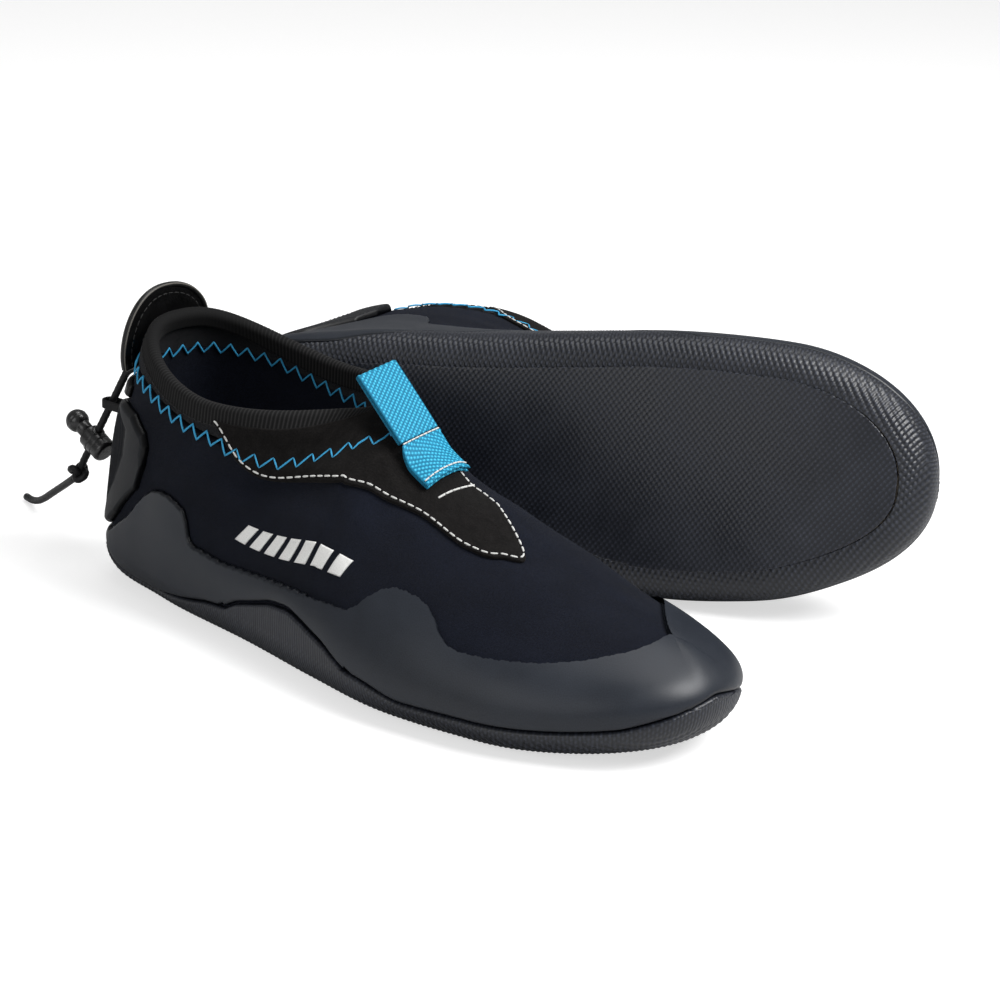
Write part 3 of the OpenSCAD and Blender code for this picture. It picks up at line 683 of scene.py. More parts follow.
def place(shape, name, body, slot, material, nodes=(), boots=BOOTS):
    """Puts a shape on each boot: right as it is, left mirrored and turned onto its side."""
    points, faces, flat, edge = shape.parts()
    pieces = []
    for boot in boots:
        piece = build(f"{boot}_{name}", to_row(boot, points), faces, flat, edge, material)
        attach(piece, f"{boot}_{body}")
        if nodes:
            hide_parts(*[f"{boot}_{node}" for node in nodes])
        pieces.append(piece)
    return pieces


def gather(n, amount=0.88):
    """n places from 0 to 1, closer together near both ends."""
    t = np.linspace(0, 1, n)
    return t - amount * np.sin(2 * math.pi * t) / (2 * math.pi)


def shell(side, st, sh, low, high, closed, lip=1.2, relief=0.0, ridge=False, ends=True):
    """A solid between two offsets, rounded at its free edges, over grids of side, station and share."""
    n, m = st.shape
    skin = on_skin(side, st, sh)
    step = np.linalg.norm(np.diff(skin, axis=1), axis=-1)
    from_low = np.concatenate([np.zeros((n, 1)), np.cumsum(step, 1)], 1)
    from_high = from_low[:, -1:] - from_low
    if ridge:
        from_high = np.where(st[:, -1:] >= 49.99, 1e3, from_high)
    near = np.minimum(from_low, from_high)
    run = np.linalg.norm(np.diff(skin, axis=0), axis=-1)
    from_start = np.concatenate([np.zeros((1, m)), np.cumsum(run, 0)], 0)
    if not closed and ends:
        near = np.minimum(near, np.minimum(from_start, from_start[-1:] - from_start))
    t = np.clip(near / lip, 0, 1)
    full = np.sqrt(np.maximum(0, 1 - (1 - t) ** 2))
    outer = low + (high - low + relief) * full
    middle = np.median(from_start, axis=1, keepdims=True)
    flat = np.stack([np.broadcast_to(middle, (n, m)), from_low, np.zeros((n, m))], -1)
    # Painted shade along the free edges: the rubber materials darken where this is high.
    edge = 1 - np.clip(near / 1.6, 0, 1)
    shape = Shape()
    shape.add(on_skin(side, st, sh, outer), grid_faces(n, m, closed), flat, edge.ravel())
    shape.add(on_skin(side, st, sh, np.full_like(outer, low)), grid_faces(n, m, closed, flip=True),
              flat, edge.ravel())
    return shape


def around(n):
    """Sides and stations evenly spaced by length round the outline, matching on both sides."""
    st = np.linspace(0, 100, 2001)
    length = sum(np.concatenate([[0], np.cumsum(np.linalg.norm(np.diff(outline(s, st), axis=0), axis=1))])
                 for s in (0, 1)) / 2
    even = np.interp(np.linspace(0, length[-1], n + 1), length, st)
    sides = np.concatenate([np.zeros(n + 1, int), np.ones(n - 1, int)])
    return sides, np.concatenate([even, even[-2:0:-1]]), length[-1]


def columns(sides, st, low, high, rows, spread=0.88):
    """Grids with each column running from a low to a high share."""
    t = gather(rows, spread)[None, :]
    share = low[:, None] + (high - low)[:, None] * t
    return np.repeat(sides[:, None], rows, 1), np.repeat(st[:, None], rows, 1), share


def along(c, rows):
    rows = np.asarray(rows, float)
    return np.interp(c, rows[:, 0], rows[:, 1]), np.interp(c, rows[:, 0], rows[:, 2])


def tube(path, r, sides=10, closed=False, bumps=None, flat_scale=1.0):
    """A round tube with domed ends along points."""
    path = np.asarray(path, float)
    n = len(path)
    if closed:
        d = unit(np.roll(path, -1, 0) - np.roll(path, 1, 0))
    else:
        d = unit(np.concatenate([path[1:2] - path[:1], path[2:] - path[:-2], path[-1:] - path[-2:-1]]))
    u = np.zeros_like(d)
    u[0] = unit(np.cross(d[0], [0.31, 0.17, 0.93]))
    for i in range(1, n):
        u[i] = unit(u[i - 1] - d[i] * np.dot(u[i - 1], d[i]))
    w = np.cross(d, u)
    k = np.arange(sides) * 2 * math.pi / sides
    ring = np.cos(k)[None, :, None] * u[:, None] + np.sin(k)[None, :, None] * w[:, None]
    radius = np.broadcast_to(r, n)[:, None]
    s = np.concatenate([[0], np.cumsum(np.linalg.norm(np.diff(path, axis=0), axis=1))])
    if bumps is not None:
        radius = radius + bumps(s[:, None], k[None, :])
    points = path[:, None] + ring * np.broadcast_to(radius, (n, sides))[..., None]
    flat = np.stack([np.broadcast_to(s[:, None], (n, sides)), np.broadcast_to(k * r if np.ndim(r) == 0 else k,
                     (n, sides)), np.zeros((n, sides))], -1) * flat_scale
    if not closed:
        first = path[0] - d[0] * np.max(r) * 0.35
        last = path[-1] + d[-1] * np.max(r) * 0.35
        points = np.concatenate([np.tile(first, (1, sides, 1)), points, np.tile(last, (1, sides, 1))])
        flat = np.concatenate([flat[:1], flat, flat[-1:]])
        n += 2
    # An even crown value: the yarn material lifts the whole tube halfway to its painted highlight colour.
    crown_highlight = np.full(n * sides, 0.5)
    return points, grid_faces(n, sides, closed, True), flat, crown_highlight


def even_path(points, step):
    """Points along a line of points, step mm apart or a little less."""
    points = np.asarray(points, float)
    s = np.concatenate([[0], np.cumsum(np.linalg.norm(np.diff(points, axis=0), axis=1))])
    n = max(2, int(math.ceil(s[-1] / step)) + 1)
    t = np.linspace(0, s[-1], n)
    return np.stack([np.interp(t, s, points[:, k]) for k in range(points.shape[1])], -1)


# ---- drawcords and what is on them ----

RIGHT_ROUTE = [
    (9.8, -2, 76.6), (8, -2, 77), (5, -2, 77.2), (2, -2.5, 76), (-0.5, -2.8, 74), (-2, -3, 71.5),
    (-5, -3.4, 66.1), (-8, -3.8, 60.7), (-11, -4.2, 55.2), (-14, -4.6, 49.8), (-17, -5, 44.4),
    (-20, -5.4, 39), (-22.5, -5.7, 34.5), (-25, -5.8, 29.5), (-29, -5, 26), (-34, -3.2, 23),
    (-40, -1, 19.5), (-47, 1.5, 15.5), (-54, 4, 11.5), (-61, 6.5, 7.5), (-68, 9, 4.2), (-75, 11.5, 2.2),
    (-81, 13.5, 1.7),
]
LEFT_ROUTE = [
    (-14, 112, 45), (-16, 111.5, 45), (-19, 110.5, 44.5), (-21.5, 109.8, 43), (-23, 109.5, 40.5),
    (-23.5, 109.5, 37.5), (-23.5, 109.5, 32), (-23.5, 109.5, 27), (-23.5, 109.5, 22), (-23.5, 109.5, 17),
    (-24, 109.6, 12.5), (-26, 110, 8.5), (-29, 111, 6), (-33, 113, 4.5), (-37, 115.5, 2.8),
    (-42, 119, 1.8), (-47, 123.5, 1.7), (-51, 129, 1.7), (-54, 135.5, 1.7), (-56, 142, 1.7),
    (-57, 149, 1.7),
]
CORD_D = 3.0
ROUTES = {"right": RIGHT_ROUTE, "left": LEFT_ROUTE}
KNOTS = {"right": ((-25, -5.8, 29.5), (-3, -0.1, -5)), "left": ((-29, 111, 6.4), (-4, 1.5, -2.2))}
LOCKS = {
    "right": ((-17, -5, 44.4), (3, 0.4, 5.4), (5.4, 0, -3)),
    "left": ((-23.5, 109.5, 29), (0, 0, 1), (1, 0, 0)),
}


def rounded(points, fine=8):
    """Catmull-Rom curve through points."""
    p = np.asarray(points, float)
    p = np.concatenate([2 * p[:1] - p[1:2], p, 2 * p[-1:] - p[-2:-1]])
    out = []
    for i in range(1, len(p) - 2):
        for t in np.arange(fine) / fine:
            a, b, c, d = p[i - 1:i + 3]
            out.append(0.5 * (2 * b + (c - a) * t + (2 * a - 5 * b + 4 * c - d) * t ** 2
                              + (3 * b - a - 3 * c + d) * t ** 3))
    out.append(p[-2])
    return np.array(out)


def braid(s, k):
    """Relief of a round braid: strands that cross, in mm."""
    lift = np.maximum(np.cos(4 * k + s * 2.4), np.cos(4 * k - s * 2.4))
    return 0.07 * lift - 0.07


def row_points(points):
    return (np.asarray(points, float) - SOLE_MIDDLE) * MM


def put(shape, name, body, material, nodes=()):
    """A single piece that is already in place, in mm."""
    points, faces, flat, edge = shape.parts()
    piece = build(name, row_points(points), faces, flat, edge, material)
    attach(piece, body)
    if nodes:
        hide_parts(*nodes)
    return piece


def lock_axes(up, along):
    z = unit(np.array(up, float))
    x = unit(np.array(along, float) - z * np.dot(along, z))
    return np.stack([x, np.cross(z, x), z], 1)


def make_cords():
    for boot in BOOTS:
        route = rounded(ROUTES[boot])
        shape = Shape().add(*tube(route, CORD_D / 2, 16, bumps=braid))
        body = f"{boot}_boot"
        cord = put(shape, f"{boot}_braided_drawcord", body, "cord", [f"{boot}_drawcord"])
        centre, axis = KNOTS[boot]
        t = np.linspace(0, 2 * math.pi, 97)[:-1]
        loop = np.stack([np.sin(t) + 2 * np.sin(2 * t), np.cos(t) - 2 * np.cos(2 * t),
                -1.5 * np.sin(3 * t)], -1)
        loop = loop * 1.15 @ lock_axes(axis, (1, 0.2, 0)).T + np.array(centre)
        low = loop[:, 2].min() - 1.45
        loop[:, 2] += max(0, 0.1 - low)
        knot = put(Shape().add(*tube(loop, 1.4, 12, True, braid)), f"{boot}_overhand_knot", body,
                   "cord", [f"{boot}_cord_knot"])
        tip = route[-3:]
        sleeve = put(Shape().add(*tube(even_path(tip, 0.3), 1.52, 14)), f"{boot}_cord_tip", body,
                "lock")


make_cords()

# ---- sole ----

TREAD_X, TREAD_Y = 2.2, 2.8


def diamonds(x, y):
    """Height of the staggered diamonds that cover the underside, in mm."""
    a, b = x / TREAD_X, y / TREAD_Y
    diamond = 1 - np.abs((a - b) % 1 - 0.5) - np.abs((a + b) % 1 - 0.5)
    return np.clip(1.5 * (diamond - 0.2), 0, 1) * 0.42


def tread():
    """The flat of the sole: staggered diamonds, level with the floor at their tops."""
    margin = 0.3
    inset = EDGE_R + 0.02
    st = np.linspace(0, 100, 241)
    rims = [outline(side, st) - outward(side, st) * inset for side in (0, 1)]
    xs = np.arange(rims[0][0, 0] - 0.2, rims[0][-1, 0] + 0.2, TREAD_X / 4)
    wide = int(max(abs(rims[0][:, 1]).max(), rims[1][:, 1].max()) / (TREAD_Y / 4)) + 1
    ys = np.arange(-wide, wide + 1) * TREAD_Y / 4
    x, y = np.meshgrid(xs, ys, indexing="ij")
    low = np.interp(xs, rims[0][:, 0], rims[0][:, 1])[:, None]
    high = np.interp(xs, rims[1][:, 0], rims[1][:, 1])[:, None]
    y = np.clip(y, low, high)
    ring = np.concatenate([rims[0], rims[1][::-1]])[::2]
    distance = np.min(
        np.linalg.norm(np.stack([x, y], -1)[:, :, None] - ring[None, None, :, :2], axis=-1), axis=2)
    height = diamonds(x, y)
    border = ease(distance / margin)
    z = spring(x) + 0.42 - height * border + (1 - border) * 0.15
    out = Shape()
    flat = np.stack([x, y, z * 0], -1)
    # The edge attribute is the depth below the diamond tops: painted shade in the hollows.
    out.add(np.stack([x, y, z], -1), grid_faces(*x.shape), flat, (1 - height / 0.42).ravel() * 0.6)
    back = np.where((x == x[:1]) | (x == x[-1:]) | (y <= low) | (y >= high), z, spring(x) + SOLE - GAP)
    out.add(np.stack([x, y, back], -1), grid_faces(*x.shape, flip=True), flat)
    place(out, "diamond_tread", "boot", "sole_rubber", "sole_rubber", ["tread"])


RIB = 1.35


def sole_wrap():
    """The textured side of the sole: fine upright ribs cut by shallow rows."""
    sides, st, length = around(1000)
    rows = 56
    low = np.full(len(st), -100.0)
    side, st, sh = columns(sides, st, low, softened(st, WRAP_EDGE, 0.8), rows, 0.6)
    s = np.arange(len(sides))[:, None] * length / 1000
    skin = on_skin(side, st, sh)
    run = np.concatenate([np.zeros((len(sides), 1)),
                          np.cumsum(np.linalg.norm(np.diff(skin, axis=1), axis=-1), 1)], 1)
    count = round(2 * length / RIB)
    rib = np.abs(np.sin(math.pi * s * count / (2 * length))) ** 0.8
    row = 0.5 + 0.5 * np.cos(2 * math.pi * (run / 1.9 + 0.5 * np.floor(s * count / (2 * length))))
    turned = ease((-sh - 30) / 18)
    print_under = diamonds(skin[..., 0], skin[..., 1]) / 0.42
    side_net = rib * (0.55 + 0.45 * row)
    net = side_net * (1 - turned) + print_under * turned
    relief = -(0.26 + 0.16 * turned) * (1 - net)
    under = np.clip(-sh / 100, 0, 1)
    thick = WRAP + (SOLE - WRAP) * under
    full = np.sqrt(np.maximum(0, 1 - (1 - np.clip((run[:, -1:] - run) / 0.9, 0, 1)) ** 2))
    shut = np.where(sh <= -99.99, 0.0, 1.0)
    outer = GAP + (thick - GAP + relief) * full
    inner = np.where(shut > 0, GAP, outer)
    flat = np.stack([s + 0 * sh, run, 0 * sh], -1)
    # Painted shade: the hollows between the ribs are darkened through the edge attribute.
    hollow_shade = (1 - net).ravel() * 0.6
    out = Shape()
    out.add(on_skin(side, st, sh, outer), grid_faces(*st.shape, True), flat, hollow_shade)
    out.add(on_skin(side, st, sh, inner), grid_faces(*st.shape, True, flip=True), flat)
    place(out, "ribbed_sole_wrap", "boot", "wrap_rubber", "wrap_rubber", ["sole_wrap"])


def footbed():
    """The cloth-covered insole: a heel cup, an arch and a rounded edge."""
    st = np.linspace(0, 100, 161)
    rims = [outline(side, st) - outward(side, st) * (EDGE_R - 1.2) for side in (0, 1)]
    t = gather(61, 0.7)[None, :, None]
    top = rims[0][:, None] * (1 - t) + rims[1][:, None] * t
    x = top[..., 0]
    across = t[..., 0] + 0 * x
    lift = (2.2 * (2 * across - 1) ** 4 * ease((110 - x) / 60)
            + 3.5 * across ** 3 * np.exp(-((x - 105) / 38) ** 2))
    edge = np.minimum(across, 1 - across)
    rounding = np.sqrt(np.clip(edge / 0.03, 0, 1) * (2 - np.clip(edge / 0.03, 0, 1)))
    base = SOLE + 2 + spring(x)
    top[..., 2] = base + (4 + lift) * rounding
    low = top.copy()
    low[..., 2] = base
    out = Shape()
    out.add(top, grid_faces(*x.shape))
    out.add(low, grid_faces(*x.shape, flip=True))
    place(out, "cloth_footbed", "boot", "foam", "foam", ["footbed"])


# ---- shell ----


def upper():
    sides, st, _ = around(300)
    low = np.full(len(st), -75.0)
    side, st, sh = columns(sides, st, low, lookup(st, SEAM), 150, 0.3)
    place(shell(side, st, sh, -NEOPRENE, 0.0, True, 0.8, ridge=True), "neoprene_upper", "boot", "neoprene",
          "neoprene", ["upper"])


def rand():
    """The smooth rubber rand: scalloped edge, a soft swell and a cut edge darkened along it with painted
    shade.
    """
    sides, st, _ = around(420)
    wrap = softened(st, WRAP_EDGE, 0.8)
    low = wrap + np.where(wrap < 0, 2.5, 1.0)
    high = np.where(sides == 0, softened(st, RAND_EDGE, 0.9), softened(st, RAND_INNER, 0.9))
    ragged = 0.5 * np.sin(st * 7.3) * np.sin(st * 3.1 + 1) * (high < 99)
    side, st, sh = columns(sides, st, low, np.minimum(high + ragged, 100), 64)
    swell = 0.35 * np.sin(np.clip((sh - low[:, None]) / (high - low)[:, None], 0, 1) * math.pi)
    place(shell(side, st, sh, GAP, GAP + RAND, True, 1.3, swell, ridge=True), "smooth_rand", "boot",
          "rand_rubber", "rand_rubber", ["rand"])


RIB_ZONE = [(10, 5), (14, 6.7), (33, 10.3), (50, 12.4), (63, 12.2), (68, 6)]


def heel_counter():
    """The moulded heel piece: slanting ribs inside a smooth raised rim."""
    n = 300
    c = np.linspace(-17, 17, n)
    sides = np.where(c < 0, 1, 0)
    side, st, sh = columns(sides, np.abs(c), lookup(np.abs(c), COUNTER_LOW),
            lookup(np.abs(c), COUNTER_TOP), 150, 0.6)
    skin = on_skin(side, st, sh)
    away = np.abs(np.concatenate([np.zeros((1, 150)),
                                  np.cumsum(np.linalg.norm(np.diff(skin, axis=0), axis=-1), 0)], 0))
    away = np.abs(away - away[n // 2:n // 2 + 1])
    zone = lookup(sh, RIB_ZONE) - st
    inside = ease(zone / 1.2 + 0.5) * ease((sh - 9) / 4) * ease((68 - sh) / 4)
    phase = (away + 0.6 * skin[..., 2]) / 2.1
    ribs = 0.5 + 0.5 * np.cos(2 * math.pi * phase)
    relief = inside * (-0.95 + 0.85 * ribs ** 0.8) + (1 - inside) * 0.2 * np.sin(sh * 0.12)
    place(shell(side, st, sh, GAP, GAP + COUNTER, False, 2.6, relief), "ribbed_heel_counter", "boot",
          "counter_rubber", "counter_rubber", ["heel_counter"])


def collar_band():
    """The soft band above the seam: it swells into a roll towards the heel."""
    sides, st, _ = around(300)
    keep = st <= 50
    half = st[(sides == 0) & keep]
    c = np.concatenate([half, half[-2:0:-1]])
    sides = np.concatenate([np.zeros(len(half), int), np.ones(len(half) - 2, int)])
    t = gather(40)[None, :]
    low_st = np.minimum(c * 1.07, 53.5)
    low_sh = lookup(low_st, SEAM) + 0.4
    high_sh = np.full(len(c), 98.5)
    st = low_st[:, None] * (1 - t) + np.minimum(c, 50)[:, None] * t
    sh = low_sh[:, None] * (1 - t) + high_sh[:, None] * t
    side = np.repeat(sides[:, None], 40, 1)
    swell = 1.3 * np.exp(-(c / 20) ** 2)[:, None] * np.sin(np.clip(t, 0, 1) * math.pi) ** 0.8
    place(shell(side, st, sh, -NEOPRENE, 0.0, True, 1.6, swell), "soft_collar_band", "boot", "collar_knit",
          "collar_knit", ["collar_band"])


def collar_binding():
    """A ribbed tape folded over the rim and stitched through."""
    n = 760
    rim = on_skin(0, np.linspace(0, 50, 1001), 100.0)
    s = np.concatenate([[0], np.cumsum(np.linalg.norm(np.diff(rim, axis=0), axis=1))])
    half = np.interp(np.linspace(0, s[-1], n // 2 + 1), s, np.linspace(0, 50, 1001))
    sides = np.concatenate([np.zeros(n // 2 + 1, int), np.ones(n // 2 - 1, int)])
    st = np.concatenate([half, half[-2:0:-1]])
    back = np.exp(-(st / 13) ** 2)
    reach = 6.5 - 2.5 * back
    top = on_skin(sides, st, np.full(len(st), 99.0))
    inward = unit(sample(NORMALS, sides, st, np.full(len(st), 96.0)))
    down = unit(on_skin(sides, st, np.full(len(st), 92.0)) - top)
    middle = top - inward * (NEOPRENE / 2) + down * 0.6
    r = (NEOPRENE / 2 + 0.75 + 0.5 * back)
    rib = (0.5 + 0.5 * np.cos(np.arange(n) * 2 * math.pi / 4)) * (1 - 0.8 * back)
    rows = []
    for k in np.linspace(0, 1, 12):
        lip = math.sqrt(max(0, 1 - (1 - min(1, k * 5)) ** 2))
        rows.append(middle + down * (reach * (1 - k))[:, None]
                    + inward * (NEOPRENE / 2 + (r - NEOPRENE / 2 + 0.12 * rib) * lip)[:, None])
    for a in np.linspace(0, math.pi, 13)[1:-1]:
        rows.append(middle + (inward * math.cos(a) - down * math.sin(a)) * (r + 0.12 * rib)[:, None])
    for k in np.linspace(1, 0, 12):
        lip = math.sqrt(max(0, 1 - (1 - min(1, k * 5)) ** 2))
        rows.append(middle + down * (reach * (1 - k))[:, None]
                    - inward * (NEOPRENE / 2 + (r - NEOPRENE / 2 + 0.12 * rib) * lip)[:, None])
    grid = np.stack(rows, 1)
    m = grid.shape[1]
    inner = middle[:, None] + (
        down[:, None] * (reach[:, None] * np.abs(np.linspace(-1, 1, m))[None])[..., None])
    inner = inner + inward[:, None] * (NEOPRENE / 2 * np.linspace(1, -1, m).clip(-1, 1))[None, :, None]
    inner[:, 0], inner[:, -1] = grid[:, 0], grid[:, -1]
    flat = np.stack([np.broadcast_to(np.arange(n)[:, None] * s[-1] * 2 / n, (n, m)),
                     np.broadcast_to(np.arange(m)[None] * 1.2, (n, m)), np.zeros((n, m))], -1)
    out = Shape()
    # The rib crests go to the edge attribute, where the yarn material paints them lighter as a highlight.
    out.add(grid, grid_faces(n, m, True), flat, np.broadcast_to(rib[:, None], (n, m)).ravel() * 0.9)
    out.add(inner, grid_faces(n, m, True, flip=True), flat)
    place(out, "ribbed_collar_binding", "boot", "binding", "binding", ["collar_binding"])
    stitch = Shape()
    line = middle + down * (reach - 1.0)[:, None] + inward * (r + 0.18)[:, None]
    front = np.arange(n)
    for start in range(0, n, 7):
        ids = front[start:start + 5]
        if len(ids) > 2:
            stitch.add(*tube(line[ids], 0.16, 5))
    place(stitch, "binding_stitches", "boot", "binding", "dark_thread")


def ankle_cord():
    t = np.linspace(0, 50, 121)
    st = np.concatenate([t, t[-2:0:-1]])
    sides = np.concatenate([np.zeros(121, int), np.ones(119, int)])
    path = on_skin(sides, st, 90.0, -NEOPRENE / 2)
    place(Shape().add(*tube(path, 0.9, 10, True, braid)), "elastic_ankle_cord", "boot", "cord", "cord",
          ["ankle_cord"])


def overlay_edge(side, c):
    """Station and share of the overlay's free edge, a smooth curve through its points."""
    rows = np.asarray(OVERLAY_EDGE[side], float)
    c = np.clip(np.asarray(c, float), 0, 100)
    knots, points = rows[:, 0], rows[:, 1:]
    slopes = np.gradient(points, knots, axis=0)
    i = np.clip(np.searchsorted(knots, c, side="right") - 1, 0, len(knots) - 2)
    h = knots[i + 1] - knots[i]
    t = ((c - knots[i]) / h)[..., None]
    h = h[..., None]
    return ((1 + 2 * t) * (1 - t) ** 2 * points[i] + t * (1 - t) ** 2 * h * slopes[i]
            + t ** 2 * (3 - 2 * t) * points[i + 1] + t ** 2 * (t - 1) * h * slopes[i + 1])


def overlay_path(side, c, inset):
    """Side, station and share of a line inset mm inside the overlay's free edge."""
    a = overlay_edge(side, c)
    b = np.stack(along(c, OVERLAY_TOP), -1)
    pa = on_skin(side, a[..., 0], a[..., 1])
    pb = on_skin(side, b[..., 0], b[..., 1])
    share = np.clip(inset / np.maximum(np.linalg.norm(pa - pb, axis=-1), 0.5), 0, 0.95)[..., None]
    q = a + (b - a) * share
    return q[..., 0], q[..., 1]


def even_columns(n):
    """Overlay columns evenly spaced along its free edge."""
    c = np.linspace(0, 100, 801)
    edge = on_skin(0, *overlay_edge(0, c).T)
    s = np.concatenate([[0], np.cumsum(np.linalg.norm(np.diff(edge, axis=0), axis=1))])
    return np.interp(np.linspace(0, s[-1], n), s, c)


def instep_overlay():
    c = even_columns(230)
    c = np.concatenate([c, c[-2::-1]])
    sides = np.concatenate([np.zeros(230, int), np.ones(229, int)])
    t = gather(56)[None, :, None]
    low = np.where(sides[:, None] == 0, overlay_edge(0, c), overlay_edge(1, c))
    high = np.stack(along(c, OVERLAY_TOP), -1)
    q = low[:, None] * (1 - t) + high[:, None] * t
    side = np.repeat(sides[:, None], 56, 1)
    place(shell(side, q[..., 0], q[..., 1], GAP, GAP + OVERLAY, False, 0.8, ridge=True),
            "instep_overlay_skin",
          "boot", "overlay", "overlay", ["instep_overlay"])
    edge = np.concatenate([on_skin(0, *overlay_path(0, even_columns(400), 1.7), GAP + OVERLAY - 0.02),
                           on_skin(1, *overlay_path(1, even_columns(400)[::-1], 1.7), GAP + OVERLAY - 0.02)])
    stitch(edge, 2.3, 1.05, 0.36, "overlay_topstitch", "white_thread", "overlay")


def stitch(line, long, gap, r, name, material, slot, body="boot"):
    """A row of separate stitches that dip at both ends."""
    s = np.concatenate([[0], np.cumsum(np.linalg.norm(np.diff(line, axis=0), axis=1))])
    fresh = np.concatenate([[True], np.diff(s) > 1e-6])
    line, s = line[fresh], s[fresh]
    shape = Shape()
    count = int(s[-1] // (long + gap))
    pitch = s[-1] / max(count, 1)
    for k in range(count):
        t = k * pitch + np.linspace(0, pitch - gap, 7)
        shape.add(*tube(np.stack([np.interp(t, s, line[:, a]) for a in range(3)], -1), r * np.array(
            [0.7, 0.95, 1, 1, 1, 0.95, 0.7]), 8))
    return place(shape, name, body, slot, material)


def seam_line():
    """Side, station and share along the flat seam, from the instep round the heel and back."""
    st = np.concatenate([np.linspace(53.3, 0, 500), np.linspace(0, 53.3, 500)[1:]])
    sides = np.concatenate([np.zeros(500, int), np.ones(499, int)])
    return sides, st, lookup(st, SEAM)


def zigzag(off, name, r, width):
    """The blue zigzag that joins band and upper, with the thread lying on the cloth."""
    sides, st, sh = seam_line()
    p = on_skin(sides, st, sh)
    s = np.concatenate([[0], np.cumsum(np.linalg.norm(np.diff(p, axis=0), axis=1))])
    count = int(s[-1] // 3.6)
    knots = np.linspace(0, s[-1], count + 1)
    per_mm = 2.0 / np.linalg.norm(
        on_skin(sides, st, np.minimum(sh + 1, 100)) - on_skin(sides, st, sh - 1), axis=-1)
    path = []
    for k in range(count):
        for t in np.arange(8) / 8:
            at = knots[k] * (1 - t) + knots[k + 1] * t
            swing = (1 - 2 * t) * (1 if k % 2 else -1) * width / 2
            i = min(int(np.searchsorted(s, at)), len(s) - 1)
            share = min(np.interp(at, s, sh) + swing * per_mm[i], 99.8)
            lift = 0.12 + 0.25 * math.sin(math.pi * t)
            path.append(on_skin(sides[i], np.interp(at, s, st), share,
                                off + (lift if off > -1 else -lift)))
    place(Shape().add(*tube(np.array(path), r, 8)), name, "boot", "webbing", "blue_thread")


def seam_threads():
    zigzag(GAP + 0.55, "collar_zigzag", 0.36, 4.6)
    zigzag(-NEOPRENE, "lining_zigzag", 0.36, 4.6)


def side_print():
    """Seven slanting bars in place of the printed word."""
    shape = Shape()
    for k in range(7):
        i, j = np.meshgrid(np.linspace(0, 1, 14), np.linspace(0, 1, 26), indexing="ij")
        t = (k + 0.12 + 0.7 * i) / 7
        lean = t + 0.35 * (j - 0.5) / 7
        st = PRINT_FROM + (PRINT_TO - PRINT_FROM) * lean
        sh = PRINT_LOW + (PRINT_HIGH - PRINT_LOW) * j + PRINT_DIP * (2 * t - 1) ** 2
        part = shell(np.zeros(st.shape, int), st, sh, 0.02, 0.34, False, 0.5)
        shape.add(*part.parts())
    place(shape, "printed_bars", "boot", "print", "print", ["side_print"])


# ---- webbing pull ----

WEB_HINGE = np.array([149, -1, 82.6])
WEB_W, WEB_FREE = 19.0, 27.0
WEB_FRAME = turn_x(8)


def tape(shape, base, up, t, half, seams=()):
    """Woven tape: a grid of middle points and normals, a place along it per row, in boot mm."""
    n, m = base.shape[:2]
    y = np.linspace(-1, 1, m)
    column = np.round((y + 1) * WEB_W / 2 / 1.06)
    stripe = np.abs(np.cos(math.pi * (y + 1) * WEB_W / 2 / 1.06)) ** 0.7
    float_ = 0.5 + 0.5 * np.cos(
        2 * math.pi * (t[:, None] / 1.7 + 0.5 * (column[None] % 2) + 0.12 * column[None]))
    edge = np.clip((1 - np.abs(y)) / 0.09, 0, 1)[None]
    weave = stripe[None] * float_ * edge
    press = sum(np.exp(-((t - q) / 0.5) ** 2) for q in seams) if len(seams) else np.zeros_like(t)
    from_side = np.clip((1 - np.abs(y)) / 0.035, 0, 1)
    thick = half * np.sqrt(from_side * (2 - from_side))
    close = np.clip(np.minimum(t, t[-1] - t) / 0.4, 0, 1)[:, None] ** 0.5
    body_t = (thick[None] + 0.16 * (weave - 0.4) * (thick[None] > 0)
              - 0.25 * press[:, None] * (thick[None] > 0))
    body_t = np.maximum(body_t * close, 0)
    flat = np.stack([np.broadcast_to(t[:, None], (n, m)), np.broadcast_to(y[None] * WEB_W / 2, (n, m)),
                     np.zeros((n, m))], -1)
    # weave also goes to the edge attribute: the yarn material paints highlight on the float crowns.
    for sign in (1, -1):
        shape.add(base + up * (sign * body_t)[..., None], grid_faces(n, m, flip=sign < 0), flat,
                weave.ravel())
    return shape


def ribbon(path, normals, half, name, body, replaced):
    """Woven tape along a path in the x-z plane of the webbing's own frame."""
    s = np.concatenate([[0], np.cumsum(np.linalg.norm(np.diff(path, axis=0), axis=1))])
    n, m = int(s[-1] / 0.3), 66
    t = np.linspace(0, s[-1], n)
    mid = np.stack([np.interp(t, s, path[:, k]) for k in range(3)], -1)
    up = unit(np.stack([np.interp(t, s, normals[:, k]) for k in range(3)], -1))
    base = mid[:, None] + np.array([0, 1, 0.0]) * (np.linspace(-1, 1, m) * WEB_W / 2)[None, :, None]
    shape = tape(Shape(), base @ WEB_FRAME.T + WEB_HINGE,
            np.broadcast_to((up @ WEB_FRAME.T)[:, None], base.shape),
                 t, half)
    return place(shape, name, body, "webbing", "webbing", replaced)


STRAP_ENDS = (55.2, 60.0)
STRAP_FALL, STRAP_BACK = (19.3, 9.0), (0.9, 0.3)
STRAP_REACH = (14.25, 4.75)


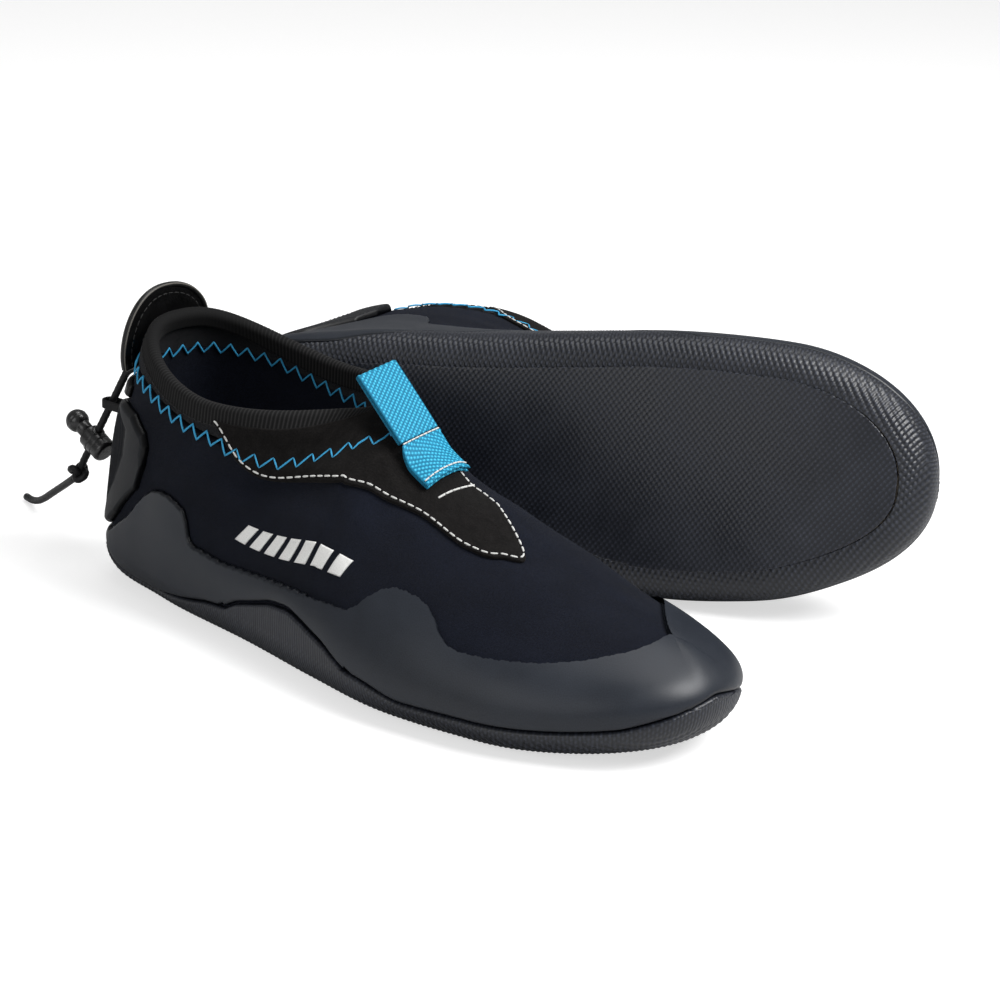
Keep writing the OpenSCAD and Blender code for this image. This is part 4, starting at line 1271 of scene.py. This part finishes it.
def strap_grid(t, y, lift):
    """Points and normals of the sewn strap, t from 0 at the hinge to 1 at its front end, y across in mm."""
    side = (y > WEB_W / 2 - STRAP_REACH[1]).astype(int)
    part = np.abs(y - WEB_W / 2 + STRAP_REACH[1]) / np.where(side == 1, STRAP_REACH[1], STRAP_REACH[0])
    fall = np.where(side == 1, STRAP_FALL[1], STRAP_FALL[0])
    back = np.where(side == 1, STRAP_BACK[1], STRAP_BACK[0])
    st = STRAP_ENDS[0] + (STRAP_ENDS[1] - STRAP_ENDS[0]) * t - back * part
    sh = 100 - fall * part
    point = on_skin(side, st, sh, lift)
    up = unit(point - on_skin(side, st, sh))
    line = np.stack([0.2 + 0 * t, y, 0 * t + lift - STRAP_TOP], -1) @ WEB_FRAME.T + WEB_HINGE
    w = (1 - ease(t / 0.38))[..., None]
    return point * (1 - w) + line * w, up


STRAP_TOP = GAP + OVERLAY + GAP + 2.6


def in_plane(rake, points):
    return np.array([turn_y(rake) @ np.array([x, 0, z]) for x, z in points])


def webbing():
    rake = 49
    half = 0.55
    flat_run = np.linspace(-0.2, -WEB_FREE, 40)
    bend = np.linspace(0, math.pi, 20)
    points = [(x, -0.62 - 0.0006 * (x + 13) ** 2) for x in flat_run]
    points += [(-WEB_FREE - 0.72 * math.sin(a), -1.3 + 0.68 * math.cos(a)) for a in bend[1:-1]]
    points += [(x, -1.98 + 0.0006 * (x + 13) ** 2) for x in flat_run[::-1]]
    points = np.array(points)
    d = unit(np.gradient(points, axis=0))
    normals = in_plane(rake, np.stack([-d[:, 1], d[:, 0]], -1) * -1)
    ribbon(in_plane(rake, points), normals, half, "woven_pull_loop", "pull_loop", ["webbing_loop"])
    n, m = 60, 66
    run, y = np.meshgrid(np.linspace(0, 1, n), np.linspace(-WEB_W / 2, WEB_W / 2, m), indexing="ij")
    for k, depth in enumerate((-0.62, -1.98)):
        point, up = strap_grid(run, y, STRAP_TOP + depth)
        t = np.concatenate([[0], np.cumsum(np.linalg.norm(np.diff(point[:, m // 2], axis=0), axis=1))])
        shape = tape(Shape(), point, up, t, half, (1.2, 15))
        place(shape, f"woven_anchor_{k + 1}", "boot", "webbing", "webbing",
                ["webbing_anchor"] if k == 0 else ())
    shape = Shape()
    for spot in (0.07, 0.87):
        for k in range(9):
            y = np.linspace(-0.8, 0.8, 6) + (k - 4) * 2.0
            point, _ = strap_grid(np.full(6, spot), y, STRAP_TOP + 0.05)
            shape.add(*tube(point, 0.3, 6))
    place(shape, "webbing_stitches", "boot", "webbing", "white_thread")
    bar = Shape()
    ends = np.array([over(166.5, -10.5)[0], over(169.5, 4)[0]])
    for k in range(5):
        t = np.linspace(k / 5 + 0.012, (k + 1) / 5 - 0.012, 6)
        spot = ends[0] + (ends[1] - ends[0]) * t[:, None]
        line = []
        for x, y, _ in spot:
            p, nrm = over(x, y)
            line.append(p + nrm * (GAP + OVERLAY + 0.12))
        bar.add(*tube(np.array(line), 0.38, 8))
    place(bar, "instep_bar_stitch", "boot", "overlay", "white_thread")


# ---- heel tab ----

TAB_FOLD, TAB_Y, TAB_MID, TAB_HALF, TAB_TOP, TAB_T = 80.0, 1.0, 91.0, 20.0, 111.0, 2.0
TAB_FACE = [(TAB_FOLD, 12.2), (86, 12.4), (94, 13.8), (104, 16.6), (TAB_TOP, 19)]


def tab_width(z):
    up = TAB_HALF * taper((z - TAB_MID) / (TAB_TOP - TAB_MID))
    return np.where(z < TAB_MID, TAB_HALF - 0.018 * (TAB_MID - z) ** 2, up)


def tab_point(s, z, off):
    y = TAB_Y + s * tab_width(z)
    return np.stack([smooth(z, TAB_FACE) + 0.012 * (y - TAB_Y) ** 2 + off, y, z], -1)


def tab_edge(off, inset=0.0, n=160):
    """The tab's free edge, from its outer foot over the top to its inner foot."""
    t = np.linspace(0, 1, n)
    z = TAB_FOLD + 1.0 + (TAB_TOP - TAB_FOLD - 1.0) * (1 - (1 - t) ** 2.4)
    one = tab_point(-1.0 + 0 * z, z, off)
    two = tab_point(1.0 + 0 * z, z, off)[::-1][1:]
    line = np.concatenate([one, two])
    if inset:
        centre = np.array([0, TAB_Y, TAB_FOLD + 12])
        d = np.gradient(line, axis=0)
        inward = unit(np.cross(d, np.array([1.0, 0, 0.0])))
        sign = np.sign(np.sum(inward * (centre - line), axis=1))[:, None]
        line = line + inward * sign * inset
    return line


def heel_tab():
    n, m = 90, 90
    z = TAB_FOLD + (TAB_TOP - TAB_FOLD - 0.05) * (1 - (1 - np.linspace(0, 1, n)) ** 2.0)
    s = (gather(m, 0.8) * 2 - 1) * 0.985
    ss, zz = np.meshgrid(s, z, indexing="ij")
    front, back = tab_point(ss, zz, -0.15), tab_point(ss, zz, -TAB_T + 0.15)
    middle = (front + back) / 2
    near = np.minimum(np.linalg.norm(front - front[:1], axis=-1), np.linalg.norm(front - front[-1:], axis=-1))
    near = np.minimum(near, zz - TAB_FOLD)
    full = np.sqrt(np.maximum(0, 1 - (1 - np.clip(near / 1.0, 0, 1)) ** 2))[..., None]
    flat = np.stack([ss * 20, zz, zz * 0], -1)
    out = Shape()
    out.add(middle + (front - middle) * full, grid_faces(m, n), flat)
    out.add(middle + (back - middle) * full, grid_faces(m, n, flip=True), flat)
    place(out, "heel_tab_leather", "heel_pull", "tab", "tab", ["heel_tab"])
    cover = Shape().add(*tube(even_path(tab_edge(-TAB_T / 2), 0.7), 1.05, 12))
    place(cover, "heel_tab_binding", "heel_pull", "tab", "tab", ["heel_tab_edging"])
    lines = Shape()
    for off, out_by in ((0.0, -0.45), (-TAB_T, -0.45)):
        lines.add(*tube(even_path(tab_edge(off, out_by), 0.7), 0.3, 8))
    place(lines, "heel_tab_piping", "heel_pull", "piping", "piping")
    for k, off in enumerate((0.02, -TAB_T - 0.02)):
        stitch(tab_edge(off, 3.0), 1.9, 0.9, 0.2, f"heel_tab_stitches_{k + 1}", "dark_thread", "tab",
                "heel_pull")


def heel_tab_base():
    n = 100
    c = np.linspace(-10, 10, n)
    sides = np.where(c < 0, 1, 0)
    high = lookup(np.abs(c), [(0, 72), (10, 77.2)])
    low = lookup(np.abs(c), [(0, 60), (10, 72)])
    side, st, sh = columns(sides, np.abs(c), low, high, 40)
    st = st * 0.9
    place(shell(side, st, sh, GAP, GAP + 2, False, 1.4), "heel_tab_foot", "boot", "tab", "tab",
            ["heel_tab_base"])


# ---- keeper and lock ----


def cord_keeper():
    """A folded tape loop that stands off the heel and holds the drawcord in."""
    centre = np.array([-5.2, -3.8, 60.6])
    path = []
    for a in np.linspace(-0.5 * math.pi, 0.5 * math.pi, 24):
        path.append((-3.3 - 2.9 * math.cos(a), 2.9 * math.sin(a)))
    near = [(x, -2.9) for x in np.linspace(9.0, -3.0, 26)]
    far = [(x, 2.9) for x in np.linspace(-3.0, 9.0, 26)]
    path = np.array(near + path[1:-1] + far)
    d = unit(np.gradient(path, axis=0))
    out_dir = np.stack([-d[:, 1], d[:, 0]], -1)
    s = np.concatenate([[0], np.cumsum(np.linalg.norm(np.diff(path, axis=0), axis=1))])
    m = 17
    z = np.linspace(-1, 1, m)
    lip = np.sqrt(np.clip((1 - np.abs(z)) * 6, 0, 1))
    weave = 0.5 + 0.5 * np.cos(2 * math.pi * (s[:, None] / 0.8 + np.arange(m)[None] * 0.5))
    end = np.clip(np.minimum(s, s[-1] - s) / 0.4, 0, 1)[:, None]
    shape = Shape()
    for sign in (1, -1):
        off = sign * (0.4 + 0.07 * weave) * lip[None] * end
        xy = path[:, None] + out_dir[:, None] * off[..., None]
        points = np.concatenate([xy, np.broadcast_to((z * 1.8)[None, :, None], xy.shape[:2] + (1,))], -1)
        flat = np.stack([np.broadcast_to(s[:, None], off.shape), np.broadcast_to(z * 1.8, off.shape),
                off * 0], -1)
        # weave also goes to the edge attribute: the yarn material paints highlight on the crowns.
        shape.add(points + centre, grid_faces(len(path), m, flip=sign < 0), flat, weave.ravel())
    place(shape, "cord_keeper_loop", "boot", "keeper", "keeper", ["cord_keeper"])


def revolved(profile, axes, at, sides=56, flutes=0.0):
    profile = np.asarray(profile, float)
    k = np.arange(sides) * 2 * math.pi / sides
    r = profile[:, 1:] * (1 + flutes * np.cos(k * 14)[None])
    points = np.stack([np.broadcast_to(profile[:, :1], r.shape), r * np.cos(k), r * np.sin(k)], -1)
    return points @ axes.T + at, grid_faces(len(profile), sides, False, True)


def locks():
    """The spring lock: a grooved barrel with a ring on each side, and a plunger with a moulded ball."""
    for boot in BOOTS:
        at, up, run = LOCKS[boot]
        axes = lock_axes(up, run)
        at = np.array(at, float)
        curve = np.linspace(0, math.pi / 2, 8)
        barrel = [(-3.2, 3.15), (-3.2, 4.1)]
        barrel += [(-3.2 + 0.7 * (1 - math.cos(a)), 4.1 + 0.7 * math.sin(a)) for a in curve]
        barrel += [(x, 4.8 - (0.25 if 1.0 < abs(x - 2.6) < 1.6 else 0)) for x in np.linspace(-2, 6.4, 36)]
        barrel += [(6.4 + 1.6 * math.sin(a), 3.2 + 1.6 * math.cos(a)) for a in curve]
        barrel += [(8.0, 0.0)]
        shape = Shape().add(*revolved(barrel, axes, at))
        ring = lock_ring(2.25, 0.42)
        for z in (4.45, -4.45):
            shape.add((ring[0] + np.array([0, 0, z])) @ axes.T + at, ring[1])
        put(shape, f"{boot}_lock_body", f"{boot}_cord_lock", "lock", [f"{boot}_lock_barrel"])
        a = np.linspace(math.pi, 0.74, 34)
        ball = [(-11 + 4.5 * math.cos(t), 4.5 * math.sin(t)) for t in a]
        ball = [(x, r - (0.3 if abs(x + 11) < 0.4 else 0)) for x, r in ball]
        ball += [(-7.2, 3.05), (-3.1, 3.0), (-3.1, 0.0)]
        ball[0] = (-15.5, 0.0)
        put(Shape().add(*revolved(ball, axes, at)), f"{boot}_lock_ball", f"{boot}_lock_button",
                "lock",
            [f"{boot}_lock_plunger"])


def lock_ring(radius, r):
    a = np.linspace(0, 2 * math.pi, 41)[:-1]
    path = np.stack([radius * np.cos(a), radius * np.sin(a), 0 * a], -1)
    points, faces, _, _ = tube(path, r, 10, True)
    return points, faces


tread()
sole_wrap()
footbed()
upper()
rand()
heel_counter()
collar_band()
collar_binding()
ankle_cord()
instep_overlay()
seam_threads()
side_print()
webbing()
heel_tab()
heel_tab_base()
cord_keeper()
locks()

# ---- CAD pieces that stay ----

KEPT = {"lasting_board": "board", "lock_spring": "spring"}
for boot in BOOTS:
    for node, material in KEPT.items():
        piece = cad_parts[f"{boot}_{node}"]
        for slot in piece.material_slots:
            slot.material = MATERIALS[material]

# ---- floor and light ----


def floor():
    mesh = bpy.data.meshes.new("floor")
    half, back, high = 3.0, 3.0, 3.0
    rows = [(-half, 0.0), (back - 0.8, 0.0)]
    rows += [(back - 0.8 + 0.8 * math.sin(a), 0.8 - 0.8 * math.cos(a))
             for a in np.linspace(0, math.pi / 2, 12)[1:]]
    rows.append((back, high))
    turn = turn_z(math.degrees(CAMERA_TURN))
    points = [tuple(turn @ np.array([x, y, z])) for y, z in rows for x in (-half, half)]
    mesh.from_pydata(points, [], [(2 * i, 2 * i + 1, 2 * i + 3, 2 * i + 2) for i in range(len(rows) - 1)])
    for face in mesh.polygons:
        face.use_smooth = True
    m = Nodes("pale floor", (0.6, 0.6, 0.6), 0.8, specular_ior_level=0.1)
    m.roughness(m.noise(m.place(), 30), 0.75, 0.85)
    seen = m.tree.nodes.new("ShaderNodeLightPath").outputs["Is Camera Ray"]
    m.shader.inputs["Emission Color"].default_value = (1, 1, 1, 1)
    m.link(m.math("MULTIPLY", seen, 0.62), m.shader, "Emission Strength")
    mesh.materials.append(m.material)
    obj = bpy.data.objects.new("floor", mesh)
    bpy.context.scene.collection.objects.link(obj)


def lamp(name, place_at, size, power, aim=(0, 0.03, 0.05)):
    data = bpy.data.lights.new(name, "AREA")
    data.shape = "RECTANGLE"
    data.size, data.size_y = size
    data.energy = power
    obj = bpy.data.objects.new(name, data)
    obj.location = place_at
    obj.rotation_euler = (Vector(aim) - Vector(place_at)).to_track_quat("-Z", "Y").to_euler()
    bpy.context.scene.collection.objects.link(obj)


def lights():
    world = bpy.data.worlds.new("studio")
    world.use_nodes = True
    world.node_tree.nodes["Background"].inputs[0].default_value = (1, 1, 1, 1)
    world.node_tree.nodes["Background"].inputs[1].default_value = 0.27
    bpy.context.scene.world = world
    turn = turn_z(math.degrees(CAMERA_TURN))
    lamp("key", turn @ np.array([1.0, -0.35, 1.2]), (0.8, 0.8), 29)
    lamp("fill", turn @ np.array([-0.9, -1.1, 0.7]), (1.0, 1.0), 5)
    lamp("top", turn @ np.array([0.1, 0.35, 1.7]), (1.2, 0.8), 8)


floor()
lights()
bpy.context.scene.view_settings.view_transform = "Standard"
